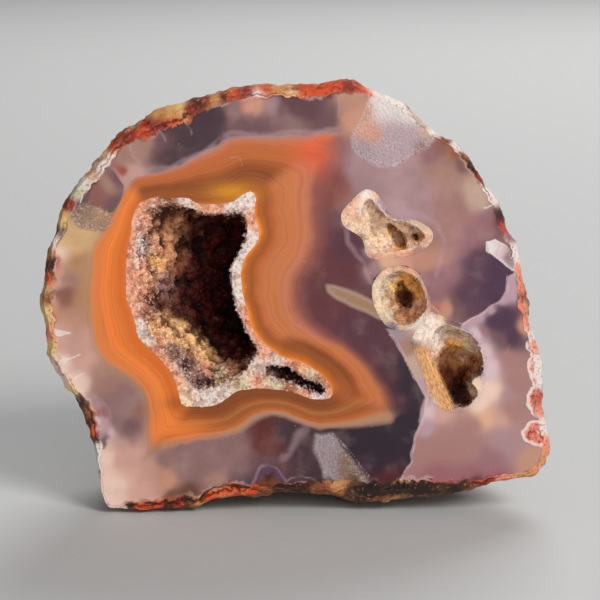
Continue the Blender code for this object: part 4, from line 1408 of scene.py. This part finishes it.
# %% Mouths and holes of the smaller crusts
UPPER_MOUTH = [
    (362, 206), (370, 198), (376, 205), (390, 219), (407, 222), (425, 234), (421, 243), (410, 249),
    (393, 252), (376, 252), (367, 241), (361, 225),
]
MIDDLE_MOUTH = [
    (380, 285), (389, 275), (402, 271), (415, 276), (422, 286), (427, 303), (425, 312), (412, 324),
    (402, 326), (392, 320), (384, 310), (379, 297),
]
LOWER_MOUTH = [
    (427, 352), (431, 340), (438, 328), (447, 325), (459, 329), (472, 336), (480, 347), (483, 362),
    (483, 373), (472, 382), (478, 392), (472, 403), (463, 408), (453, 406), (444, 401), (437, 391),
    (432, 375), (429, 362),
]
UPPER_HOLES = [
    [(386, 227), (393, 226), (399, 232), (405, 238), (407, 250), (399, 252), (393, 247), (390, 238)],
    [(413, 237), (418, 235), (420, 239), (416, 243)],
]
MIDDLE_HOLES = [
    [(397, 286), (404, 284), (409, 293), (414, 297), (414, 304), (411, 312), (403, 312), (396, 306),
     (395, 296)],
]
LOWER_HOLES = [
    [(444, 356), (452, 350), (462, 352), (474, 360), (477, 370), (468, 380), (466, 389), (475, 400),
     (464, 405), (452, 402), (443, 388), (438, 370)],
]
BASIN = [*OPEN_FRONT, (1.0, 0.94, 1, 0), (2.0, 0.7, 2, 1)]
HOLE = [(0.6, 1.1, 0, 0), (2.4, 1.0, 0, 0), (4.6, 0.9, 1, 1), (5.6, 0.5, 1, 1)]
LOWER_BASIN = [*OPEN_FRONT, (1.4, 0.97, 1, 1), (2.8, 0.75, 1, 1)]
LOWER_HOLE = [(0.9, 1.1, 0, 0), (3.0, 1.05, 0, 0), (5.4, 0.9, 1, 2), (6.6, 0.5, 1, 2)]
SPACES = {
    "upper": (UPPER_MOUTH, BASIN, UPPER_HOLES, HOLE),
    "middle": (MIDDLE_MOUTH, BASIN, MIDDLE_HOLES, HOLE),
    "lower": (LOWER_MOUTH, LOWER_BASIN, LOWER_HOLES, LOWER_HOLE),
}
CAST_POINTS = 110
CAST_JAG = 0.9
print("basins", list(SPACES))

# %% Three smaller crusts
CAST_LUMPS = {
    "upper": [("upper_folds", "CLOUDS", 0.0016, 0.0008, 0.5)],
    "middle": [("middle_lumps", "VORONOI", 0.0009, -0.0005, 0.45)],
    "lower": [("lower_folds", "CLOUDS", 0.0016, 0.0009, 0.5)],
}
CAST_GRAINS = [("cast_grains", "CLOUDS", 0.00040, 0.00022, 0.5)]
ROD_ENDS = [(416, 340), (446, 405)]
ROD_RADIUS = 0.00085
ROD_DEPTH = 0.0008
ROD_SIDES = 20


def fibrous_rod():
    """The rod across the lower hollow, a cylinder that lies just behind the polish."""
    start, end = on_face(ROD_ENDS)
    axis = Vector((end[0] - start[0], 0, end[1] - start[1]))
    bpy.ops.object.select_all(action="DESELECT")
    bpy.ops.mesh.primitive_cylinder_add(
        vertices=ROD_SIDES,
        radius=ROD_RADIUS,
        depth=axis.length,
        location=((start[0] + end[0]) / 2, FACE_Y + ROD_DEPTH, (start[1] + end[1]) / 2),
        rotation=axis.to_track_quat("Z", "Y").to_euler(),
    )
    rod = bpy.context.object
    bpy.ops.object.transform_apply(location=True, rotation=True, scale=True)
    return rod


casts = {}
for wall, (mouth, basin, holes, levels) in SPACES.items():
    spaces = [jagged(tapered(mouth, WALLS[wall][1], basin, CAST_POINTS), CAST_JAG, len(casts))]
    spaces += [tapered(hole, np.mean(hole, axis=0), levels, CAST_POINTS // 2) for hole in holes]
    extra = [fibrous_rod()] if wall == "lower" else []
    casts[wall] = crust(wall + "_lining", wall, spaces, CAST_LUMPS[wall], CAST_GRAINS, extra)
print("casts", {name: triangles(cast) for name, cast in casts.items()})

# %% [markdown]
# Quartz grows as six-sided prisms with pointed tips. One is modelled from a cylinder whose top is drawn up
# and merged to a point. Its copies are turned, scaled and set on random faces of the crust, leaning a little
# off each face, and all of them become one mesh that is joined to the crust. Instances would be lighter, but
# the crystals have to be real mesh. Each crystal keeps a shade of its own.

# %% Quartz points
CRYSTAL_SIDES = 6
CRYSTAL_TIP = 0.9
CRYSTAL_SLIMNESS = (1.5, 3.2)
CRYSTAL_LEAN = 0.45
CRYSTAL_HEIGHT = 0.15
PLAIN_SHADE = 0.5

bpy.ops.object.select_all(action="DESELECT")
bpy.ops.mesh.primitive_cylinder_add(vertices=CRYSTAL_SIDES, radius=1, depth=1)
crystal = bpy.context.object
choose(crystal, "FACE", [face.normal.z > FACING for face in crystal.data.polygons])
bpy.ops.mesh.extrude_region_move(TRANSFORM_OT_translate={"value": (0, 0, CRYSTAL_TIP)})
bpy.ops.mesh.merge(type="CENTER")
done()
crystal_places = places_of(crystal)
crystal_faces = [tuple(face.vertices) for face in crystal.data.polygons]
bpy.data.objects.remove(crystal)


def grow_crystals(piece, seed, groups):
    """Sets crystals on a crust's inner faces. groups has rows of count, least and greatest radius, and least
    and greatest depth behind the polish."""
    rng = np.random.default_rng(seed)
    group = piece.vertex_groups["inner"].index
    inner = np.array([any(g.group == group for g in vert.groups) for vert in piece.data.vertices])
    whole = [face for face in piece.data.polygons if inner[list(face.vertices)].all()]
    places, corners, shades = [], [], [np.full(len(inner), PLAIN_SHADE)]
    for count, least, greatest, shallow, deepest in groups:
        faces = [face for face in whole if shallow < face.center.y - FACE_Y < deepest]
        for number in rng.choice(len(faces), count):
            face = faces[number]
            lean = Vector(rng.normal(0, CRYSTAL_LEAN, 3))
            turn = np.array((face.normal + lean).to_track_quat("Z", "Y").to_matrix())
            radius = rng.uniform(least, greatest)
            size = np.array((radius, radius, radius * rng.uniform(*CRYSTAL_SLIMNESS) / 2))
            first = len(places) * len(crystal_places)
            corners += [tuple(corner + first for corner in face_corners) for face_corners in crystal_faces]
            places.append((crystal_places * size) @ turn.T + np.array(face.center))
            shades.append(np.full(len(crystal_places), rng.uniform()))
    mesh = bpy.data.meshes.new("crystals")
    mesh.from_pydata(np.vstack(places), [], corners)
    crystals = bpy.data.objects.new("crystals", mesh)
    store(crystals, "raised", np.full(len(mesh.vertices), CRYSTAL_HEIGHT))
    bpy.context.scene.collection.objects.link(crystals)
    pick(piece)
    crystals.select_set(True)
    bpy.ops.object.join()
    moved = places_of(piece)
    moved[:, 1] = np.maximum(moved[:, 1], FACE_Y - PROUD)
    move_to(piece, moved)
    store(piece, "shade", np.concatenate(shades))


DRUSE_SEED = 11
DRUSE_CRYSTALS = [
    (1500, 0.00007, 0.00014, 0.0, 0.0035), (600, 0.00010, 0.00020, 0.0, 0.0075),
    (60, 0.00020, 0.00034, 0.0003, 0.003), (240, 0.00016, 0.00030, 0.0, 0.0006),
]
CAST_CRYSTALS = [(260, 0.00007, 0.00015, 0.0, 0.005)]

grow_crystals(druse, DRUSE_SEED, DRUSE_CRYSTALS)
for seed, cast in enumerate(casts.values()):
    grow_crystals(cast, seed, CAST_CRYSTALS)
print("druse with crystals", triangles(druse), "triangles")

# %% [markdown]
# ## Colours of the crusts
#
# A crust's cut rim and its inner side have washes of their own, which meet at the mouth in a thin bright
# line. Deeper inside, dark washes and a darkening with depth are painted shade. The rims of the smaller
# crusts are thin in places, and there the colour of the agate shows through. Two materials with a border
# would be simpler, but the real colours run into each other.

# %% Crust palette
# The darkest crust colours here are painted shade, and the palest cast colours are the crust's cream
# brightened as painted light.
PALETTE.update({
    "sugar white": (222, 204, 194), "crust pink": (226, 158, 126), "crust coral": (222, 148, 116),
    "lump tan": (222, 160, 118), "lump brown": (164, 106, 74), "lump gold": (246, 188, 118),
    "ledge gold": (255, 203, 140), "violet brown": (146, 106, 96), "shade brown": (72, 22, 12),
    "shade maroon": (72, 4, 4), "grain yellow": (208, 188, 154), "cast cream": (236, 206, 172),
    "cast pink": (236, 190, 164), "cast tan": (250, 214, 180), "cast gold": (252, 196, 110),
    "cast brown": (192, 132, 84), "hole shade": (104, 50, 20), "cast white": (240, 222, 206),
    "cast salmon": (236, 176, 138), "cast amber": (250, 176, 90), "cast fold": (242, 204, 178),
    "cast grain": (226, 202, 168), "shade umber": (60, 24, 12), "rod shade": (122, 78, 48),
    "rod gold": (212, 146, 86), "rod cream": (232, 184, 124),
})
print("palette", len(PALETTE), "colours")

# %% Washes of the main crust
DRUSE_RIM = [
    (165, 199, 7, "lump brown"), (148, 206, 7, "crust pink"), (186, 202, 6, "sugar white"),
    (200, 206, 6, "lump tan"), (216, 209, 7, "crust pink"), (232, 207, 6, "sugar white"),
    (246, 200, 7, "sugar white"), (251, 222, 7, "crust pink"), (250, 238, 6, "sugar white"),
    (242, 256, 6, "sugar white"), (237, 274, 7, "sugar white"), (238, 295, 7, "sugar white"),
    (242, 314, 7, "crust pink"), (251, 334, 7, "crust coral"), (262, 350, 7, "crust pink"),
    (278, 360, 6, "sugar white"), (258, 364, 5, "sugar white"), (291, 364, 5, "crust coral"),
    (301, 368, 5, "lump tan"), (311, 374, 5, "grain yellow"), (320, 380, 5, "lump brown"),
    (330, 390, 5, "crust coral"), (318, 397, 5, "sugar white"), (304, 392, 6, "crust pink"),
    (290, 388, 6, "lump brown"), (272, 384, 7, "grain yellow"), (258, 384, 6, "crust pink"),
    (240, 385, 7, "grain yellow"), (222, 392, 7, "sugar white"), (205, 399, 7, "sugar white"),
    (186, 398, 7, "cast cream"), (176, 378, 6, "crust pink"), (160, 356, 7, "crust pink"),
    (144, 332, 7, "sugar white"), (134, 306, 7, "crust pink"), (129, 275, 7, "crust coral"),
    (131, 245, 7, "crust coral"), (136, 220, 7, "crust pink"),
]
# The dark maroon and brown washes deep in the hollow and the pocket are painted shade.
DRUSE_INNER = [
    (143, 222, 6, "crust pink"), (140, 245, 6, "sugar white"), (139, 270, 6, "crust pink"),
    (144, 295, 7, "crust pink"), (150, 276, 6, "lump tan"), (150, 318, 6, "lump brown"),
    (158, 212, 8, "lump tan"), (170, 212, 7, "lump brown"), (160, 240, 8, "lump tan"),
    (158, 262, 5, "lump gold"), (170, 248, 8, "lump tan"), (178, 228, 8, "lump tan"),
    (188, 222, 6, "lump brown"), (183, 262, 8, "lump brown"), (165, 285, 7, "violet brown"),
    (196, 236, 7, "shade brown"), (200, 262, 9, "shade brown"), (188, 292, 8, "shade brown"),
    (206, 285, 12, "shade maroon"), (222, 240, 12, "shade maroon"), (215, 305, 14, "shade maroon"),
    (226, 335, 12, "shade maroon"), (240, 350, 8, "shade maroon"), (160, 306, 5, "shade maroon"),
    (178, 314, 6, "shade maroon"), (196, 322, 6, "shade maroon"), (158, 324, 6, "ledge gold"),
    (172, 326, 7, "ledge gold"), (186, 336, 8, "ledge gold"), (200, 344, 7, "ledge gold"),
    (211, 356, 6, "ledge gold"), (208, 370, 5, "crust coral"), (162, 336, 5, "lump tan"),
    (176, 350, 6, "violet brown"), (188, 362, 6, "violet brown"), (200, 378, 6, "violet brown"),
    (220, 372, 5, "grain yellow"), (232, 372, 5, "lump brown"), (244, 366, 5, "lump brown"),
    (290, 375, 7, "shade maroon"), (306, 384, 6, "shade maroon"), (270, 371, 5, "violet brown"),
    (318, 385, 4, "shade brown"),
]
print("washes", len(DRUSE_RIM) + len(DRUSE_INNER))

# %% Washes of the smaller crusts, and how solid their rims are
CAST_RIM = [
    (346, 214, 6, "cast pink"), (352, 226, 5, "cast cream"), (357, 218, 4, "peach glow"),
    (354, 202, 5, "cast pink"), (366, 194, 5, "cast white"), (364, 210, 4, "cast white"),
    (362, 226, 4, "cast cream"), (367, 244, 4, "cast cream"), (360, 240, 4, "olive tan"),
    (374, 195, 4, "cast pink"), (382, 203, 4, "pale pink"), (390, 213, 5, "lilac"),
    (402, 214, 5, "grey mauve"), (414, 220, 4, "cast cream"), (426, 226, 4, "cast cream"),
    (432, 238, 4, "cast pink"), (427, 242, 4, "cast pink"), (422, 252, 4, "rose mauve"),
    (408, 256, 5, "cast salmon"), (392, 257, 5, "cast salmon"), (376, 258, 5, "cast salmon"),
    (375, 290, 5, "cast grain"), (377, 305, 5, "cast cream"), (384, 318, 4, "cast grain"),
    (386, 271, 4, "cast pink"), (396, 269, 5, "peach glow"), (412, 272, 4, "cast salmon"),
    (422, 282, 4, "cast pink"), (428, 298, 5, "cast pink"), (428, 310, 4, "cast salmon"),
    (423, 323, 4, "cast white"), (404, 328, 4, "cast cream"), (392, 327, 4, "frost grey"),
    (418, 330, 5, "cast white"), (430, 320, 6, "cast white"), (440, 320, 4, "cast cream"),
    (450, 324, 4, "grey mauve"), (460, 327, 4, "beige brown"), (470, 333, 4, "frost grey"),
    (480, 342, 4, "lilac"), (486, 356, 5, "lilac glow"), (487, 374, 5, "lilac glow"),
    (480, 388, 5, "cast cream"), (479, 402, 4, "pale pink"), (466, 410, 4, "pink tan"),
    (452, 411, 4, "rose mauve"), (440, 406, 4, "cast cream"), (426, 384, 5, "peach glow"),
    (411, 318, 5, "lump brown"), (414, 362, 5, "frost grey"), (410, 348, 4, "dusk"),
]
SOLID = [
    (416, 221, 3, 0.7), (428, 228, 4, 0.9), (433, 240, 4, 0.9), (429, 290, 4, 0.4), (425, 380, 5, 1),
    (350, 215, 8, 1), (366, 194, 6, 1), (362, 232, 5, 1), (374, 258, 5, 0.5), (395, 257, 6, 0.5),
    (415, 254, 5, 0), (431, 240, 5, 1), (425, 225, 5, 0.7), (402, 213, 6, 0), (386, 208, 5, 0.2),
    (375, 290, 6, 1), (376, 305, 6, 1), (384, 320, 5, 0.8), (398, 329, 5, 0.6), (385, 272, 5, 1),
    (400, 268, 5, 0.9), (414, 272, 5, 0.6), (426, 284, 5, 0.5), (431, 302, 5, 0.2), (420, 325, 8, 1),
    (436, 316, 6, 0.8), (450, 322, 5, 0), (465, 328, 5, 0), (480, 340, 5, 0), (488, 356, 5, 0),
    (489, 375, 5, 0), (484, 390, 5, 0.4), (475, 406, 5, 0), (455, 412, 5, 0.1), (435, 402, 5, 0.5),
    (418, 370, 5, 0.6), (410, 350, 5, 0.5),
]
# The dark washes deep in the holes are painted shade. The pale washes are the crust's cream, brightened as
# painted light where light shines through the stone.
CAST_INNER = [
    (370, 202, 4, "cast fold"), (376, 214, 5, "cast tan"), (372, 232, 5, "cast cream"),
    (374, 248, 4, "cast tan"), (380, 240, 4, "cast tan"), (384, 226, 4, "cast tan"),
    (385, 247, 4, "cast fold"), (391, 230, 3, "cast gold"), (397, 238, 4, "cast tan"),
    (401, 247, 4, "cast amber"), (404, 228, 4, "cast fold"), (396, 221, 4, "cast tan"),
    (416, 238, 2.5, "cast brown"), (410, 246, 4, "cast tan"), (422, 238, 3, "cast amber"),
    (412, 226, 4, "cast tan"), (384, 284, 5, "cast grain"), (396, 286, 4, "cast gold"),
    (384, 300, 5, "cast cream"), (388, 314, 5, "cast grain"), (393, 276, 4, "cast cream"),
    (394, 301, 4, "cast brown"), (402, 276, 4, "cast amber"), (412, 284, 5, "cast amber"),
    (420, 294, 4, "cast amber"), (403, 296, 5, "hole shade"), (407, 306, 4, "hole shade"),
    (418, 306, 4, "cast salmon"), (411, 314, 4, "cast brown"), (404, 322, 4, "cast brown"),
    (397, 317, 4, "cast brown"), (436, 336, 6, "cast white"), (438, 344, 4, "cast white"),
    (445, 351, 4, "cast brown"), (433, 353, 3, "cast pink"), (452, 331, 4, "cast cream"),
    (462, 333, 4, "cast fold"), (473, 346, 5, "cast cream"), (450, 344, 4, "cast amber"),
    (458, 346, 4, "cast gold"), (464, 356, 4, "cast tan"), (446, 358, 4, "cast brown"),
    (456, 364, 5, "cast brown"), (474, 360, 4, "cast brown"), (448, 374, 5, "hole shade"),
    (464, 374, 5, "hole shade"), (458, 388, 6, "shade umber"), (450, 398, 5, "shade umber"),
    (466, 402, 4, "shade umber"), (474, 388, 4, "cast cream"), (477, 397, 4, "cast cream"),
]
print("washes", len(CAST_RIM) + len(CAST_INNER))

# %% Colours at each point of the crusts
MOUTH_LINE = 1.6
MOUTH_BLUR = 1.5
SOLID_INSIDE = (1.0, 6.0)
SHADOW_DEPTHS = (0.004, 0.011)
DULL_DEPTHS = (0.0012, 0.0055)


def mixed(first, second, share):
    """Two tints at each point, with a share of the second."""
    return first * (1 - share[:, None]) + second * share[:, None]


def ground_tint(points):
    """The colour that the agate outside the bands has at each point."""
    in_block = smooth_step(depth_in_any(points, BLOCKS), -BLOCK_BLUR, BLOCK_BLUR)
    outside = blend(wandering(points, GROUND_DRIFT), TINTS)
    return mixed(outside, blend(wandering(points, BLOCK_DRIFT), BLOCK_TINTS), in_block)


def colour_crust(piece, wall, mouths, rim_tints, inner_tints, dark, most):
    """Stores a crust's tints: its cut rim, its inner side with a painted shade that deepens behind the
    polish, and the line between them. Where the rim isn't solid it lets the agate's colour through."""
    places = places_of(piece)
    points = in_photo(places)
    behind = places[:, 1] - FACE_Y
    inside = depth_in_any(points, mouths)
    solid = np.ones(len(points))
    if wall != "vug":
        fade = blend(points, SOLID)
        solid = fade + (1 - fade) * smooth_step(depth_in(points, WALLS[wall][0]), *SOLID_INSIDE)
    share = smooth_step(inside, -MOUTH_BLUR, MOUTH_BLUR)
    rim_tint = mixed(ground_tint(points), blend(points, rim_tints), solid)
    tint = mixed(rim_tint, blend(points, inner_tints), share)
    store(piece, "solid", np.maximum(solid, share))
    # Painted shade: deeper behind the polish the tint turns towards the dark colour, up to most.
    store(piece, "tint", mixed(tint, linear(dark), smooth_step(behind, *SHADOW_DEPTHS) * most))
    store(piece, "mouth", np.abs(inside) / MOUTH_LINE)
    store(piece, "depth", smooth_step(behind, *DULL_DEPTHS))


# The dark colours and their shares here are painted shade deep in the hollows.
colour_crust(druse, "vug", [VUG_MOUTHS[0], POCKET_MOUTH], DRUSE_RIM, DRUSE_INNER, "shade maroon", 0.9)
for wall, cast in casts.items():
    colour_crust(cast, wall, [SPACES[wall][0]], CAST_RIM, CAST_INNER, "hole shade", 0.25)
print("crusts coloured")

# %% Where the rod lies
ROD_BLUR = (9.0, 6.0)
ROD_START = (1, 14)
FIBRE_STRETCH = 8

lower_points = in_photo(places_of(casts["lower"]))
rod_way = np.array(ROD_ENDS[1], float) - ROD_ENDS[0]
rod_way /= np.linalg.norm(rod_way)
along_rod = (lower_points - ROD_ENDS[0]) @ rod_way
across_rod = (lower_points - ROD_ENDS[0]) @ np.array((-rod_way[1], rod_way[0]))
near_rod = smooth_step(distance_to(lower_points, ROD_ENDS), *ROD_BLUR)
store(casts["lower"], "rod", near_rod * smooth_step(along_rod, *ROD_START))
store(casts["lower"], "across_rod", across_rod)
store(casts["lower"], "along_rod", along_rod / FIBRE_STRETCH)
print("points on the rod", int((near_rod > 0).sum()))

# %% [markdown]
# One recipe serves all crusts. Each modelled crystal is lighter or darker by its own shade, and borders
# between small cells draw the crystals that are too fine to model. Near the polish the lighter crystals and
# grains are screened whiter as painted glints. The gaps between lumps and the creases get painted shade, the
# tops of lumps a painted highlight, and light passes a little into the quartz. Clear glass is the other way,
# but it needs many more samples to come out clean. The rod's fibres are noise that is stretched along it.

# %% Quartz and the rod's fibres
CRUST_SCATTER = (0.0012, 0.0007, 0.0004)


def crust_finish(name, uneven, hollows, through):
    """A crust's finish: how uneven its colour is, how strong the painted shade between its lumps is,
    and how much light goes in.
    """
    quartz = Finish(name)
    solid = quartz.stored("solid")
    shallow = quartz.sum("SUBTRACT", 1.0, quartz.stored("depth"))
    uneven = quartz.times(solid, uneven)
    sparkle = quartz.times(shallow, uneven)
    shade = quartz.stored("shade")
    colour = quartz.stored("tint", "Color")
    # Lighter crystals near the polish turn whiter: their own tone, and painted glints where light reaches.
    colour = quartz.lightened(colour, "sugar white", quartz.rise(shade, 0.5, 1.0, 0.5), sparkle)
    colour = quartz.darkened(colour, "lump brown", quartz.rise(shade, 0.5, 0.0, 0.6), uneven)
    borders = quartz.rise(quartz.cells(0.42 * MM, "DISTANCE_TO_EDGE"), 0.16, 0.0)
    here_and_there = quartz.rise(quartz.noise(1.0 * MM, 3), 0.45, 0.62, 0.4)
    colour = quartz.darkened(colour, "lump brown", borders, here_and_there, solid)
    grain = quartz.cells(0.3 * MM, output="Color")
    # Painted glints on light grains near the polish.
    colour = quartz.lightened(colour, "sugar white", quartz.rise(grain, 0.55, 0.9, 0.4), sparkle)
    colour = quartz.darkened(colour, "lump brown", quartz.rise(grain, 0.45, 0.15, 0.45), uneven)
    stains = quartz.rise(quartz.noise(1.1 * MM, 3), 0.5, 0.36, 0.5)
    colour = quartz.darkened(colour, "lump brown", stains, uneven)
    raised = quartz.stored("raised")
    # Painted shade in the gaps between lumps.
    colour = quartz.darkened(colour, "shade brown", quartz.rise(raised, 0.0, -0.22, hollows))
    # A painted highlight on raised lumps.
    colour = quartz.lightened(colour, "lump tan", quartz.rise(raised, 0.1, 0.4, 0.2))
    at_mouth = quartz.rise(quartz.stored("mouth"), 1.5, 0.2, 1.4)
    colour = quartz.over(colour, "sugar white", at_mouth, here_and_there)
    # Painted shade in the creases.
    colour = quartz.darkened(colour, "lump brown", quartz.rise(quartz.creases(), 0.5, 0.42, 0.6))
    rod_place = quartz.vector(quartz.stored("across_rod"), quartz.stored("along_rod"))
    fibres = quartz.noise(1.1, 3, place=rod_place)
    fibre_colours = quartz.ramp(fibres, [
        (0.3, "rod shade"), (0.42, "rod gold"), (0.5, "rod cream"), (0.56, "rod gold"), (0.7, "rod shade"),
    ])
    colour = quartz.over(colour, fibre_colours, quartz.stored("rod"), 0.85)
    gloss = quartz.rise(quartz.noise(0.3 * MM), 0.3, 0.7, 0.4)
    return quartz.finish(
        colour,
        quartz.sum("ADD", gloss, quartz.rise(shallow, 1.0, 0.0, 0.5)),
        quartz.bumps(quartz.cells(0.25 * MM), 0.05 * MM),
        IOR=QUARTZ_IOR, Specular_IOR_Level=0.2,
        Subsurface_Weight=through, Subsurface_Radius=CRUST_SCATTER, Subsurface_Scale=1.0,
    )


# The second number is the strength of the painted shade between lumps.
quartz_druse = crust_finish("quartz_druse", 1.0, 0.85, 0.1)
cast_lining = crust_finish("cast_lining", 0.45, 0.25, 0.5)
for piece in (druse, *casts.values()):
    piece.data.materials.clear()
    piece.data.materials.append(quartz_druse if piece == druse else cast_lining)
print("crust finishes", len(quartz_druse.node_tree.nodes), "nodes each")

# %% [markdown]
# ## Hand over
#
# Each piece rides on the stone's one body and stands for its packed node, which is hidden. The floor gets its
# plain finish.

# %% Hand over
STANDS_FOR = {
    stone: ("agate", "agate"),
    druse: ("druse", "druse"),
    casts["upper"]: ("upper_crust", "pale_crust"),
    casts["middle"]: ("middle_crust", "golden_crust"),
    casts["lower"]: ("lower_crust", "brown_crust"),
}
for piece, (node, slot) in STANDS_FOR.items():
    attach(piece, "root")
    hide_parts(node)

PALETTE["studio floor"] = (192, 192, 190)
FLOOR_ROUGHNESS = 0.8
floor_finish = Finish("studio_floor")
floor.data.materials.append(floor_finish.finish("studio floor", FLOOR_ROUGHNESS))
